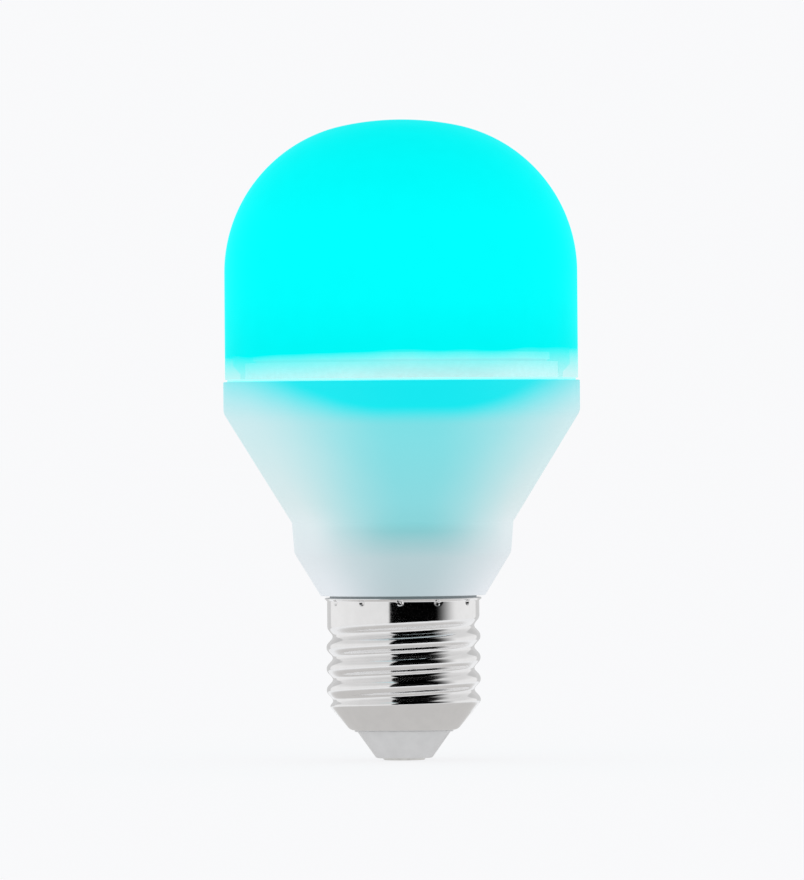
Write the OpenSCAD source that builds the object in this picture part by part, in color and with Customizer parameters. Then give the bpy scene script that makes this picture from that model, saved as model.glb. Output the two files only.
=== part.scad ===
// Smart light bulb with an E27 screw cap: a glowing dome on a translucent housing,
// with the light board, the radio module and the mains driver inside it.
// Millimetres, +Z up along the bulb's axis, origin at the middle of the end contact's face.

/* [Dome] */
// Outside diameter of the dome's skirt
dome_d = 60.1; // [50:0.1:72.2]
// Height of the dome above the seam
dome_h = 44.15; // [36:0.05:54]
// Wall of the dome
dome_wall = 1.4; // [1:0.1:2]
// How far from the axis the shoulder's arc has its centre
shoulder_offset = 4.5; // [1:0.5:6]
// How much larger the crown's arc is than the shoulder's
crown_extra_r = 22; // [7:0.5:26]
// Depth of the lip that plugs into the housing
lip_depth = 3; // [2:0.5:4]
// Wall of the lip
lip_wall = 1.3; // [1:0.1:1.6]

/* [Housing] */
// How far the housing's collar stands proud of the dome's skirt
collar_step = 0.3; // [0.1:0.05:0.6]
// Height of the straight collar under the seam
collar_h = 5.3; // [4.4:0.1:7]
// Height of the upper cone
body_cone_h = 18.7; // [15.5:0.1:23]
// Diameter of the band at its upper edge
band_d = 37.7; // [31.4:0.1:46]
// How much narrower the band is at its lower edge
band_taper = 0.8; // [0:0.1:2]
// Height of the band
band_h = 5.2; // [4.2:0.1:7]
// Height of the lower cone
neck_cone_h = 7.3; // [6:0.1:9]
// How far the housing's lower edge overhangs the cap's rim
neck_overhang = 1.05; // [0.6:0.05:2]
// Wall of the cones
body_wall = 1.6; // [1.2:0.1:2.2]
// Wall of the collar round the dome's lip
rim_wall = 1.45; // [1.2:0.05:2]
// Wall of the spigot inside the cap
spigot_wall = 1.5; // [1.2:0.1:1.8]
// Width of the ledge that the heat sink stands on
ledge_w = 1.4; // [1.2:0.1:2]

/* [Screw cap] */
// Height of the cap, from the end contact to the housing
cap_h = 28; // [23.3:0.1:33.6]
// Diameter over the thread's crests
thread_d = 26.2; // [21.8:0.05:31.5]
// Depth of the thread
thread_depth = 1.05; // [0.8:0.05:1.3]
// Rise of the thread in one turn
thread_pitch = 3.629; // [3.2:0.001:4.3]
// Sheet of the screw shell
shell_wall = 0.35; // [0.25:0.05:0.45]
// How far the plain rim lies inside the crests
rim_inset = 0.15; // [0.05:0.05:0.3]
// Height of the plain rim above the thread
rim_h = 3.9; // [3.3:0.1:4.7]
// How far the rim's lip turns out
rim_lip = 0.4; // [0.2:0.1:0.7]
// How far the hole in the shell's end lies inside the thread's roots
shell_end_in = 3.6; // [3:0.1:4.4]
// Rise of the sloping end of the shell
shell_end_h = 2.8; // [2.4:0.1:3.4]
// Height of the insulator below the shell
insulator_h = 4.5; // [3.8:0.1:5.4]
// Diameter of the insulator's flat end
insulator_end_d = 9.5; // [8.4:0.1:10.5]
// Diameter of the end contact
contact_d = 7.2; // [6:0.1:8]
// How far the end contact stands out
contact_proud = 0.35; // [0.2:0.05:0.6]
// Number of crimp dents round the rim
crimps = 12; // [6:1:16]
// Diameter of a crimp dent
crimp_d = 1.1; // [0.8:0.1:1.4]

/* [Heat sink and light board] */
// Gap between the heat sink's top and the dome's lip
sink_gap = 0.85; // [0.5:0.05:1.5]
// Margin of the heat sink's top round the light board
light_board_margin = 1.4; // [1:0.1:3]
// Thickness of the light board
light_board_t = 1.2; // [0.8:0.1:1.6]
// Height of the light board's top above the seam
light_board_rise = 4.4; // [3.4:0.1:6]
// Thickness of the thermal pad
pad_t = 0.4; // [0.3:0.1:0.8]
// Wall of the heat sink
sink_wall = 1.2; // [0.8:0.1:1.4]
// Plate on top of the heat sink
sink_plate_t = 1.5; // [1.2:0.1:2.2]
// Wall of the insulating liner
liner_wall = 0.8; // [0.6:0.1:1]
// Number of white emitters in the outer ring
white_emitters = 20; // [12:2:24]
// Number of colour emitters in the inner ring
colour_emitters = 6; // [3:3:6]
// Number of screws through the light board
board_screws = 3; // [2:1:3]

/* [Driver] */
// Thickness of the driver board
driver_t = 1.2; // [1:0.1:1.6]
// Height of the driver board's lower edge above the shell's end
driver_lift = 14.6; // [14.2:0.1:15.4]
// Diameter of the mains capacitor
mains_cap_d = 8; // [6.6:0.1:9.6]
// Length of the mains capacitor
mains_cap_l = 13; // [10:0.5:15.6]
// Width of the transformer's core
core_w = 9; // [8:0.1:10]
// Height of the transformer's core
core_h = 10.4; // [8.6:0.1:12.5]
// Width of the radio board
radio_w = 15; // [12.5:0.5:16]
// Thickness of the radio board
radio_t = 0.8; // [0.6:0.1:1]
// How far the radio board stands above the light board
aerial_rise = 9; // [7.5:0.5:12]

/* [Fits] */
// Visible bead of sealant between the dome and the housing
seam_gap = 0.35; // [0.2:0.05:0.5]
// Play round the dome's lip
lip_play = 0.15; // [0.1:0.05:0.3]
// Play round the housing's spigot in the shell
shell_play = 0.1; // [0.05:0.05:0.2]
// Gap between the screw shell's lip and the housing
shell_top_gap = 0.35; // [0.1:0.05:0.5]
// Play round the heat sink's foot and round the liner
sink_play = 0.15; // [0.1:0.05:0.3]
// Play along the driver board's edges and its parts
board_play = 0.2; // [0.1:0.05:0.4]
// Play of screws, pins and the contact in their holes
pin_play = 0.05; // [0.03:0.01:0.1]

/* [Hidden] */
$fn = 96;
eps = 0.01;

// Colours
glow_cyan = [0, 0.98, 1];
milky_white = [0.86, 0.95, 0.96];
plastic_white = [0.9, 0.9, 0.9];
plated = [0.86, 0.86, 0.86];
bare_aluminium = [0.75, 0.76, 0.78];
board_green = [0.08, 0.35, 0.2];
board_white = [0.94, 0.94, 0.92];
part_black = [0.09, 0.09, 0.1];
copper_red = [0.72, 0.38, 0.2];
ferrite_grey = [0.22, 0.22, 0.24];

// Heights along the axis
z_band_0 = cap_h + neck_cone_h;
z_band_1 = z_band_0 + band_h;
z_collar = z_band_1 + body_cone_h;
z_rim = z_collar + collar_h;
z_dome = z_rim + seam_gap;
z_top = z_dome + dome_h;

// Screw cap
crest_r = thread_d / 2;
root_r = crest_r - thread_depth;
rim_r = crest_r - rim_inset;
shell_hole_r = root_r - shell_end_in;
step_h = 0.25;
z_shell_0 = contact_proud + insulator_h + step_h;
z_shell_1 = cap_h - shell_top_gap;
z_thread_0 = z_shell_0 + shell_end_h;
z_run_in = z_shell_1 - rim_h; // crest that merges into the rim, at the front
z_thread_1 = z_run_in + 0.4 * thread_pitch;
crimp_below_top = 0.8;
z_crimp = z_shell_1 - crimp_below_top;
crimp_r = crimp_d / 2;
crimp_turn = -92.7;
crimp_depth = 0.45;

// Outside of the housing
dome_r = dome_d / 2;
collar_r = dome_r + collar_step;
band_top_r = band_d / 2;
band_bottom_r = band_top_r - band_taper / 2;
neck_r = rim_r + neck_overhang;
upper_tilt = atan((collar_r - band_top_r) / body_cone_h);
lower_tilt = atan((band_bottom_r - neck_r) / neck_cone_h);

// Inside of the housing
collar_in_r = collar_r - rim_wall;
lip_r = collar_in_r - lip_play;
lip_in_r = lip_r - lip_wall;
spigot_end_gap = 1.8;
z_spigot = z_thread_0 + spigot_end_gap;
spigot_r = root_r - shell_wall - 2 * shell_play;
bore_r = spigot_r - spigot_wall;
rim_spigot_r = rim_r - shell_wall - shell_play;
ledge_drop = 2.5;
z_ledge = z_band_1 - ledge_drop;
seat_r = band_top_r - body_wall / cos(upper_tilt) - 0.1;
ledge_r = seat_r - ledge_w;
floor_t = 1.4;
z_floor = cap_h + floor_t;
floor_inset = 0.2; // least step from the ledge's opening down to the floor
floor_r = min(neck_r + floor_t * tan(lower_tilt) - body_wall / cos(lower_tilt), ledge_r - floor_inset);
z_floor_cone = z_floor + (ledge_r - floor_r) / tan(lower_tilt);

// Heat sink and light board
z_light = z_dome + light_board_rise;
z_pad = z_light - light_board_t - pad_t;
z_plate = z_pad - sink_plate_t;
sink_top_r = lip_in_r - sink_gap;
light_board_r = sink_top_r - light_board_margin;
sink_foot_r = seat_r - sink_play;
cone_gap = 0.35;
z_sink_cone = z_band_1;
z_sink_top = z_sink_cone + (sink_top_r - sink_foot_r) / tan(upper_tilt) + cone_gap;

// Outline of the heat sink's outside, inset by a share of the walls
function sink_line(inset, z_end) = [
    [sink_foot_r - inset, z_ledge], [sink_foot_r - inset, z_sink_cone + cone_gap],
    [sink_top_r - inset, z_sink_top], [sink_top_r - inset, z_end]
];
liner_inset = sink_wall + sink_play;
liner_in_inset = liner_inset + liner_wall;

// Emitters
white_ring_r = light_board_r - 3.4;
white_size = [3.5, 2.8, 0.7];
colour_ring_r = white_ring_r - 6.2;
colour_size = [5, 5, 1.5];
screw_turn = 180 / colour_emitters;

// Light board screws
screw_r = 1.2;
screw_head_r = 2.1;
screw_head_h = 1.3;
screw_reach = light_board_t + pad_t + sink_plate_t - 0.1;

// Driver board
z_driver = z_shell_0 + driver_lift;
z_driver_top = z_plate - liner_wall - 1.4;
driver_face = driver_t / 2;
tongue_w = 2 * (sqrt(bore_r * bore_r - driver_face * driver_face) - board_play);
driver_seat_w = 2 * (floor_r - 0.6);
z_shoulder = z_ledge - 0.8;
part_room_r = sink_foot_r - liner_in_inset - board_play; // free radius inside the liner
shoulder_w = 2 * (part_room_r - board_play);
rail_w = 0.9;
rail_reach = 1.4;

// Window for the header and the radio board
radio_y = driver_face;
header_rows = 5;
header_pitch = 2;
header_depth = 2.5;
header_y = -driver_face - header_depth / 2;
pin_w = 0.6;
window_play = 0.9;
window_x = max(radio_w / 2, (header_rows - 1) * header_pitch / 2 + pin_w) + window_play;
window_y_0 = header_y - pin_w / 2 - window_play;
window_y_1 = radio_y + radio_t + window_play;
z_radio = z_driver_top - 12;
z_radio_top = z_light + aerial_rise;

// Component seats, one above the other up the driver board
front = -driver_face;
back = driver_face;
stand_off = 0.4;
seat_gap = 0.6;
varistor_r = 3.5;
varistor_t = 3.2;
z_varistor = z_driver + varistor_r + seat_gap;
choke_r = 2.6;
choke_h = 5;
z_choke = z_varistor + varistor_r + seat_gap + choke_r;
film_size = [9.4, 6.6, 4.6];
z_film = z_choke + choke_r + seat_gap + film_size[1] / 2;
z_mid = max(z_shoulder, z_film + film_size[1] / 2) + 0.8;
out_cap_d = 6.3;
out_cap_l = 6.4;
z_controller = z_film;

// Furthest a part of this depth can stand from the middle and still clear the liner
function room(depth) = sqrt(part_room_r * part_room_r - depth * depth);
function can_room(d) =
    let (y = driver_face + pin_play + d / 2, r = part_room_r - d / 2)
    sqrt(r * r - y * y);

// Arc of points about [x, z]
function arc(x, z, r, from, to, steps, first = 0) =
    [for (i = [first:steps]) let (a = from + (to - from) * i / steps) [x + r * cos(a), z + r * sin(a)]];

// Arc that rounds the corner b between the straight runs a-b and b-c
function unit(v) = v / norm(v);
function rounded(a, b, c, r, steps = 5) =
    let (
        u = unit(a - b),
        v = unit(c - b),
        half = acos(u * v) / 2,
        reach = r / tan(half),
        middle = b + unit(u + v) * r / sin(half),
        from = b + u * reach - middle,
        to = b + v * reach - middle,
        a0 = atan2(from[1], from[0]),
        turn = atan2(from[0] * to[1] - from[1] * to[0], from * to)
    )
    [for (i = [0:steps]) middle + r * [cos(a0 + turn * i / steps), sin(a0 + turn * i / steps)]];

module turned(points) {
    rotate_extrude() polygon(points);
}

module ring_of(count, r, turn = 0) {
    for (i = [0:count - 1])
        rotate(turn + 360 * i / count) translate([r, 0, 0]) children();
}

module block(x, y, z) {
    // x, y and z are [low, high]
    translate([x[0], y[0], z[0]]) cube([x[1] - x[0], y[1] - y[0], z[1] - z[0]]);
}

// ---------------------------------------------------------------- dome and seam

shoulder_r = dome_r - shoulder_offset;
crown_r = shoulder_r + crown_extra_r;
z_crown = z_top - crown_r;
z_shoulder_arc = z_crown + sqrt(pow(crown_extra_r, 2) - pow(shoulder_offset, 2));
crown_from = atan2(z_shoulder_arc - z_crown, shoulder_offset);

// Outline of the dome, a wall's thickness inside its outer face
function dome_line(inset) = concat(
    arc(shoulder_offset, z_shoulder_arc, shoulder_r - inset, 0, crown_from, 18),
    arc(0, z_crown, crown_r - inset, crown_from, 90, 5, first = 1)
);

module diffuser_dome() {
    outside = dome_line(0);
    inside_line = dome_line(dome_wall);
    color(glow_cyan) turned(concat(
        [[lip_in_r, z_dome - lip_depth], [lip_r, z_dome - lip_depth], [lip_r, z_dome], [dome_r, z_dome]],
        outside,
        [for (i = [len(inside_line) - 1:-1:0]) inside_line[i]],
        [[dome_r - dome_wall, z_dome + 2.4], [lip_in_r, z_dome + 1]]
    ));
}

module seam_sealant() {
    bead_in = 0.15;
    bead_out = 0.35;
    color(plastic_white) turned([
        [lip_r + bead_in, z_rim], [dome_r - bead_out, z_rim],
        [dome_r - bead_out, z_dome], [lip_r + bead_in, z_dome]
    ]);
}

// ---------------------------------------------------------------- housing

module housing_wall() {
    cone_in = body_wall / cos(upper_tilt);
    z_cone_in = z_collar + (collar_in_r - collar_r + cone_in) / tan(upper_tilt);
    groove_half = crimp_r + 0.2;
    groove_r = rim_spigot_r - crimp_depth - 0.15;
    z_wide = z_thread_1 + 0.1;
    edge = 0.3;
    outside = concat(
        [[bore_r, z_spigot], [spigot_r, z_spigot], [spigot_r, z_wide], [rim_spigot_r, z_wide]],
        [[rim_spigot_r, z_crimp - groove_half], [groove_r, z_crimp - groove_half]],
        [[groove_r, z_crimp + groove_half], [rim_spigot_r, z_crimp + groove_half]],
        [[rim_spigot_r, cap_h], [neck_r - edge, cap_h], [neck_r, cap_h + edge]],
        rounded([neck_r, cap_h + edge], [band_bottom_r, z_band_0], [band_top_r, z_band_1], 1.6),
        [[band_top_r, z_band_1]],
        rounded([band_top_r, z_band_1], [collar_r, z_collar], [collar_r, z_rim], 2.2),
        rounded([collar_r, z_collar], [collar_r, z_rim], [collar_in_r, z_rim], edge, 3)
    );
    inside_line = [
        [collar_in_r, z_rim], [collar_in_r, z_cone_in], [seat_r + 0.1, z_band_1], [seat_r, z_band_1],
        [seat_r, z_ledge], [ledge_r, z_ledge], [ledge_r, z_floor_cone], [floor_r, z_floor], [bore_r, z_floor]
    ];
    turned(concat(outside, inside_line));
}

module housing() {
    notch_w = 1.9;
    notch_h = 3.4;
    color(milky_white) {
        difference() {
            housing_wall();
            // Notch that lets the neutral lead out to the shell
            block(
                [-spigot_r - 1, -bore_r / 2], [-notch_w / 2, notch_w / 2],
                [z_spigot - 1, z_spigot + notch_h]
            );
        }
        // Rails that hold the driver board's edges
        rail_h = z_floor - floor_t - z_driver;
        for (side = [-1, 1], face = [-1, 1])
            intersection() {
                translate([0, 0, z_driver]) cylinder(r = bore_r + spigot_wall / 2, h = rail_h);
                translate([
                    side > 0 ? bore_r - rail_reach : -bore_r - spigot_wall / 2,
                    face > 0 ? driver_face + board_play / 2 : -driver_face - board_play / 2 - rail_w,
                    z_driver
                ]) cube([rail_reach + spigot_wall / 2, rail_w, rail_h]);
            }
    }
}

// ---------------------------------------------------------------- heat sink, liner, pad

module window(z, h, play = 0) {
    block([-window_x + play, window_x - play], [window_y_0 + play, window_y_1 - play], [z, z + h]);
}

function backwards(points) = [for (i = [len(points) - 1:-1:0]) points[i]];

module heat_sink() {
    color(bare_aluminium) difference() {
        turned(concat(
            sink_line(0, z_pad), [[0, z_pad], [0, z_plate]], backwards(sink_line(sink_wall, z_plate))
        ));
        window(z_plate - 1, sink_plate_t + 2);
        ring_of(board_screws, colour_ring_r, screw_turn)
            translate([0, 0, z_plate - 1]) cylinder(r = screw_r + pin_play, h = sink_plate_t + 2);
    }
}

module insulating_liner() {
    z_in = z_plate - liner_wall;
    color([0.93, 0.92, 0.88]) difference() {
        turned(concat(
            sink_line(liner_inset, z_plate), [[0, z_plate], [0, z_in]],
            backwards(sink_line(liner_in_inset, z_in))
        ));
        window(z_in - 1, liner_wall + 2, 0.2);
    }
}

module thermal_pad() {
    color([0.55, 0.62, 0.7]) difference() {
        translate([0, 0, z_pad]) cylinder(r = light_board_r - 0.5, h = pad_t);
        window(z_pad - 1, pad_t + 2);
        ring_of(board_screws, colour_ring_r, screw_turn)
            translate([0, 0, z_pad - 1]) cylinder(r = screw_r + 0.5, h = pad_t + 2);
    }
}

// ---------------------------------------------------------------- light board and emitters

module light_board() {
    slot_play = 0.3;
    color(board_white) difference() {
        translate([0, 0, z_pad + pad_t]) cylinder(r = light_board_r, h = light_board_t);
        block(
            [-radio_w / 2 - slot_play, radio_w / 2 + slot_play],
            [radio_y - slot_play, radio_y + radio_t + slot_play],
            [z_pad, z_light + 1]
        );
        ring_of(board_screws, colour_ring_r, screw_turn)
            translate([0, 0, z_pad]) cylinder(r = screw_r + 0.15, h = light_board_t + 2);
        at_header_pins() translate([0, 0, z_pad])
            cylinder(r = pin_w / 2 * sqrt(2) + pin_play, h = light_board_t + 2);
    }
}

module emitter(size, lens_r) {
    dish = 0.25;
    difference() {
        translate([0, 0, size[2] / 2]) cube(size, center = true);
        translate([0, 0, size[2] - dish]) cylinder(r1 = lens_r - dish, r2 = lens_r, h = dish + eps);
    }
}

module white_emitters(first, tint) {
    color(tint) ring_of(white_emitters / 2, white_ring_r, first * 360 / white_emitters)
        translate([0, 0, z_light]) rotate(90) emitter(white_size, 1.2);
}

module cool_white_emitters() {
    white_emitters(0.5, [0.95, 0.93, 0.6]);
}

module warm_white_emitters() {
    white_emitters(1.5, [0.95, 0.75, 0.35]);
}

module colour_emitters() {
    color(plastic_white) ring_of(colour_emitters, colour_ring_r)
        translate([0, 0, z_light]) emitter(colour_size, 1.9);
}

module current_regulator() {
    color(part_black) translate([0, -6.9, z_light]) chip(4.9, 3.9, 1.4, 4);
}

// Chip with a row of bent legs along both long edges, standing on z = 0
module chip(l, w, h, legs) {
    leg_w = 0.4;
    leg_t = 0.2;
    half_reach = 0.45;
    pitch = 1.27;
    gap = 0.1;
    translate([-l / 2, -w / 2, gap]) cube([l, w, h - gap]);
    for (side = [0, 1], i = [0:legs - 1])
        mirror([0, side, 0]) translate([(i - (legs - 1) / 2) * pitch - leg_w / 2, w / 2, 0]) {
            // Out of the body, down, and out along the board
            translate([0, -eps, h / 2]) cube([leg_w, half_reach + eps, leg_t]);
            translate([0, half_reach - leg_t, 0]) cube([leg_w, leg_t, h / 2 + leg_t]);
            translate([0, half_reach - leg_t, 0]) cube([leg_w, half_reach + leg_t, leg_t]);
        }
}

module light_board_screws() {
    slot_w = 0.6;
    slot_l = 2.6;
    color(plated) ring_of(board_screws, colour_ring_r, screw_turn) {
        translate([0, 0, z_light - screw_reach]) cylinder(r = screw_r, h = screw_reach + eps);
        difference() {
            translate([0, 0, z_light]) turned([
                [0, 0], [screw_head_r, 0], [screw_head_r, screw_head_h * 0.5],
                [screw_head_r * 0.7, screw_head_h], [0, screw_head_h]
            ]);
            for (a = [0, 90])
                rotate(a) translate([-slot_l / 2, -slot_w / 2, z_light + screw_head_h - 0.7])
                    cube([slot_l, slot_w, 1]);
        }
    }
}

// ---------------------------------------------------------------- driver board

module driver_board() {
    half = [
        [tongue_w / 2, z_driver], [tongue_w / 2, z_floor], [driver_seat_w / 2, z_floor],
        [shoulder_w / 2, z_shoulder], [shoulder_w / 2, z_driver_top]
    ];
    // Outline in X and Z, stood up by the rotation
    color(board_green) rotate([90, 0, 0]) translate([0, 0, -driver_t / 2]) linear_extrude(driver_t)
        polygon(concat(half, [for (p = backwards(half)) [-p[0], p[1]]]));
}

// Stands a part that is drawn lying on z = 0 up against the board's front or back
module on_front(x, z) {
    translate([x, front, z]) rotate([90, 0, 0]) children();
}

module on_back(x, z) {
    translate([x, back, z]) rotate([-90, 0, 0]) children();
}

module bridge_rectifier() {
    color(part_black) on_back(0, z_driver + 6) chip(4.7, 3.9, 2.4, 2);
}

module switching_controller() {
    color(part_black) on_back(-2, z_controller) chip(4.9, 3.9, 1.4, 4);
}

module output_diode() {
    body = [4.3, 2.6, 2];
    tab = [5.2, 1.4, 0.25];
    color(part_black) on_back(4.4, z_controller + 4.6) {
        translate([-body[0] / 2, -body[1] / 2, 0.15]) cube(body);
        translate([-tab[0] / 2, -tab[1] / 2, 0]) cube(tab);
    }
}

// Two straight leads from a part down to the board
module lead_pair(spacing, reach) {
    for (side = [-1, 1]) translate([side * spacing / 2, 0, 0]) cylinder(r = 0.3, h = reach);
}

module surge_varistor() {
    round_r = 0.8;
    color([0.12, 0.2, 0.5]) on_front(0, z_varistor) {
        translate([0, 0, stand_off]) turned(concat(
            [[0, 0]], arc(varistor_r - round_r, round_r, round_r, -90, 0, 4),
            arc(varistor_r - round_r, varistor_t - round_r, round_r, 0, 90, 4), [[0, varistor_t]]
        ));
        lead_pair(4, stand_off + round_r);
    }
}

choke_web_r = 1.1;
choke_flange = 0.8;
choke_coil_in = 0.3;

module filter_choke_core() {
    color(ferrite_grey) on_front(0, z_choke) translate([0, 0, stand_off]) turned([
        [0, 0], [choke_r, 0], [choke_r, choke_flange], [choke_web_r, choke_flange],
        [choke_web_r, choke_h - choke_flange], [choke_r, choke_h - choke_flange],
        [choke_r, choke_h], [0, choke_h]
    ]);
}

module filter_choke_winding() {
    wire_r = 0.25;
    z_coil = stand_off + choke_flange;
    color(copper_red) on_front(0, z_choke) {
        translate([0, 0, z_coil]) difference() {
            cylinder(r = choke_r - choke_coil_in, h = choke_h - 2 * choke_flange);
            translate([0, 0, -1]) cylinder(r = choke_web_r, h = choke_h);
        }
        // Ends of the wire, down past the flange to the board
        for (side = [-1, 1]) translate([side * (choke_r + wire_r), 0, 0]) {
            cylinder(r = wire_r, h = z_coil + 2 * wire_r);
            translate([0, 0, z_coil + wire_r]) rotate([0, -90 * side, 0])
                cylinder(r = wire_r, h = 2 * wire_r + choke_coil_in);
        }
    }
}

module film_capacitor() {
    color([0.86, 0.66, 0.16]) on_front(0, z_film) {
        translate([-film_size[0] / 2, -film_size[1] / 2, stand_off]) cube(film_size);
        lead_pair(7, stand_off + 0.3);
    }
}

// Round can with a rolled neck and a scored vent, standing on z = 0 with the board on its +Y side
module can(d, l) {
    r = d / 2;
    edge = 0.5;
    neck = 0.35;
    vent = 0.15;
    wire_r = 0.25;
    wire_drop = 0.4;
    difference() {
        turned(concat(
            [[0, 0], [r - edge, 0], [r, edge], [r, 1.2], [r - neck, 1.5], [r - neck, 1.8], [r, 2.1]],
            arc(r - edge, l - edge, edge, 0, 90, 4), [[0, l]]
        ));
        for (a = [0, 90]) rotate(a) translate([-r * 0.6, -vent, l - vent]) cube([r * 1.2, 2 * vent, 1]);
    }
    for (side = [-1, 1]) translate([side * d / 5, 0, -wire_drop]) {
        translate([0, 0, -wire_r]) cylinder(r = wire_r, h = wire_drop + 2 * wire_r);
        rotate([-90, 0, 0]) cylinder(r = wire_r, h = r + pin_play);
    }
}

module mains_capacitor() {
    color([0.1, 0.12, 0.2]) translate([-can_room(mains_cap_d), front - pin_play - mains_cap_d / 2, z_mid])
        can(mains_cap_d, mains_cap_l);
}

module output_capacitor() {
    above_core = 1.2;
    color([0.12, 0.3, 0.16])
        translate([can_room(out_cap_d), front - pin_play - out_cap_d / 2, z_mid + core_h + above_core])
            can(out_cap_d, out_cap_l);
}

core_t = 4.6;
core_leg = 2;
core_back = 2;
core_gap = (core_w - 3 * core_leg) / 2;
bobbin_wall = 0.4;
bobbin_flange = 0.5;
bobbin_stand = 0.5;
bobbin_out = core_gap - pin_play;
coil_out = core_gap - 0.35;
core_y = front - bobbin_stand - bobbin_out - core_t / 2;
core_x = room(core_t / 2 - core_y) - core_w / 2;
z_bobbin_0 = z_mid + core_back + pin_play;
z_bobbin_1 = z_mid + core_h - core_back - pin_play;

module transformer_core() {
    color(ferrite_grey) difference() {
        block(
            [core_x - core_w / 2, core_x + core_w / 2], [core_y - core_t / 2, core_y + core_t / 2],
            [z_mid, z_mid + core_h]
        );
        for (x = [core_x + core_leg / 2, core_x - core_leg / 2 - core_gap])
            block(
                [x, x + core_gap], [core_y - core_t, core_y + core_t],
                [z_mid + core_back, z_mid + core_h - core_back]
            );
    }
}

// Block round the core's middle leg, grown by a margin
module leg_block(margin, z0, z1) {
    x = core_leg / 2 + margin;
    y = core_t / 2 + margin;
    block([core_x - x, core_x + x], [core_y - y, core_y + y], [z0, z1]);
}

// Rectangular sleeve round the core's middle leg
module leg_sleeve(inner, outer, z0, z1) {
    difference() {
        leg_block(outer, z0, z1);
        leg_block(inner, z0 - 1, z1 + 1);
    }
}

module transformer_bobbin() {
    x = core_leg / 2 + bobbin_out;
    color([0.16, 0.14, 0.13]) {
        leg_sleeve(pin_play, bobbin_wall, z_bobbin_0, z_bobbin_1);
        for (z = [z_bobbin_0, z_bobbin_1 - bobbin_flange]) {
            leg_sleeve(pin_play, bobbin_out, z, z + bobbin_flange);
            // Foot that stands on the board
            block([core_x - x, core_x + x], [front - bobbin_stand - eps, front], [z, z + bobbin_flange]);
        }
    }
}

module transformer_winding() {
    color([0.85, 0.72, 0.2])
        leg_sleeve(bobbin_wall, coil_out, z_bobbin_0 + bobbin_flange, z_bobbin_1 - bobbin_flange);
}

// Small chips on the board's back, each [x, height above the board's lower edge]
chip_x = bore_r - rail_reach - 1.4;
resistor_seats = [
    [-chip_x, 4.4], [-chip_x, 6.8], [-chip_x, 9.2], [chip_x, 4.4], [chip_x, 6.8], [chip_x, 9.2]
];
capacitor_seats = [[-1.4, 10.2], [1.4, 10.2], [0, 11.9]];
resistor_size = [2, 1.25, 0.5];
capacitor_size = [1.6, 0.8, 0.8];

module seated(size) {
    translate([-size[0] / 2, -size[1] / 2, 0]) cube(size);
}

module chip_resistors() {
    color(part_black) {
        for (p = resistor_seats) on_back(p[0], z_driver + p[1]) seated(resistor_size);
        for (x = [-5, 5]) translate([x, -6.9, z_light]) seated(resistor_size);
    }
}

module chip_capacitors() {
    color([0.62, 0.5, 0.36])
        for (p = capacitor_seats) on_back(p[0], z_driver + p[1]) seated(capacitor_size);
}

// ---------------------------------------------------------------- radio module and header

module radio_board() {
    color(board_green)
        block([-radio_w / 2, radio_w / 2], [radio_y, radio_y + radio_t], [z_radio, z_radio_top]);
}

module radio_shield() {
    shield_w = 10.4;
    shield_h = 9.6;
    shield_d = 2;
    color(plated) block(
        [-shield_w / 2, shield_w / 2],
        [radio_y + radio_t, radio_y + radio_t + shield_d],
        [z_radio + 0.8, z_radio + 0.8 + shield_h]
    );
}

// Meandering copper track on the aerial end of the radio board
module radio_aerial() {
    track = 0.5;
    copper_t = 0.1;
    bars = 8;
    span = radio_w - 3;
    step = (span - track) / (bars - 1);
    z_low = z_light + 3;
    z_high = z_radio_top - 0.8;
    color(copper_red) {
        for (i = [0:bars - 1])
            block(
                [-span / 2 + i * step, -span / 2 + i * step + track],
                [radio_y + radio_t, radio_y + radio_t + copper_t], [i == 0 ? z_light + 1 : z_low, z_high]
            );
        for (i = [0:bars - 2])
            block(
                [-span / 2 + i * step, -span / 2 + (i + 1) * step + track],
                [radio_y + radio_t, radio_y + radio_t + copper_t],
                i % 2 == 0 ? [z_high - track, z_high] : [z_low, z_low + track]
            );
    }
}

module at_header_pins() {
    for (i = [0:header_rows - 1])
        translate([(i - (header_rows - 1) / 2) * header_pitch, header_y, 0]) children();
}

header_h = 2.5;
z_header_1 = z_driver_top - 0.4;
z_header_0 = z_header_1 - header_h;

module header_block() {
    half = header_rows * header_pitch / 2;
    color(part_black) difference() {
        block([-half, half], [front - header_depth, front], [z_header_0, z_header_1]);
        at_header_pins()
            block([-pin_w / 2, pin_w / 2], [-pin_w / 2, pin_w / 2], [z_header_0 - 1, z_header_1 + 1]);
    }
}

module header_pins() {
    proud = 0.8;
    color([0.8, 0.66, 0.3]) at_header_pins()
        block([-pin_w / 2, pin_w / 2], [-pin_w / 2, pin_w / 2], [z_header_0 - proud, z_light + proud]);
}

// ---------------------------------------------------------------- leads

// Tube of radius r swept along a list of points, with its rings carried along without twist
function along(p, i) =
    i == 0 ? unit(p[1] - p[0])
    : i == len(p) - 1 ? unit(p[i] - p[i - 1])
    : unit(unit(p[i + 1] - p[i]) + unit(p[i] - p[i - 1]));
function square_to(s, t) = unit(s - (s * t) * t);
function sides_of(p) = [
    for (i = 0, s = square_to([0, 1, 0.01], along(p, 0)); i < len(p);
         i = i + 1, s = i < len(p) ? square_to(s, along(p, i)) : s) s
];
// Points on a smooth curve through p, with a few steps between each pair
function smooth(p, steps) = [
    for (i = [0:len(p) - 2], k = [0:steps - (i == len(p) - 2 ? 0 : 1)])
        let (
            t = k / steps,
            a = p[max(i - 1, 0)], b = p[i], c = p[i + 1], d = p[min(i + 2, len(p) - 1)],
            bend = 2 * a - 5 * b + 4 * c - d,
            twist = 3 * b - a - 3 * c + d
        )
        b + 0.5 * ((c - a) * t + bend * t * t + twist * t * t * t)
];

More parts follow.
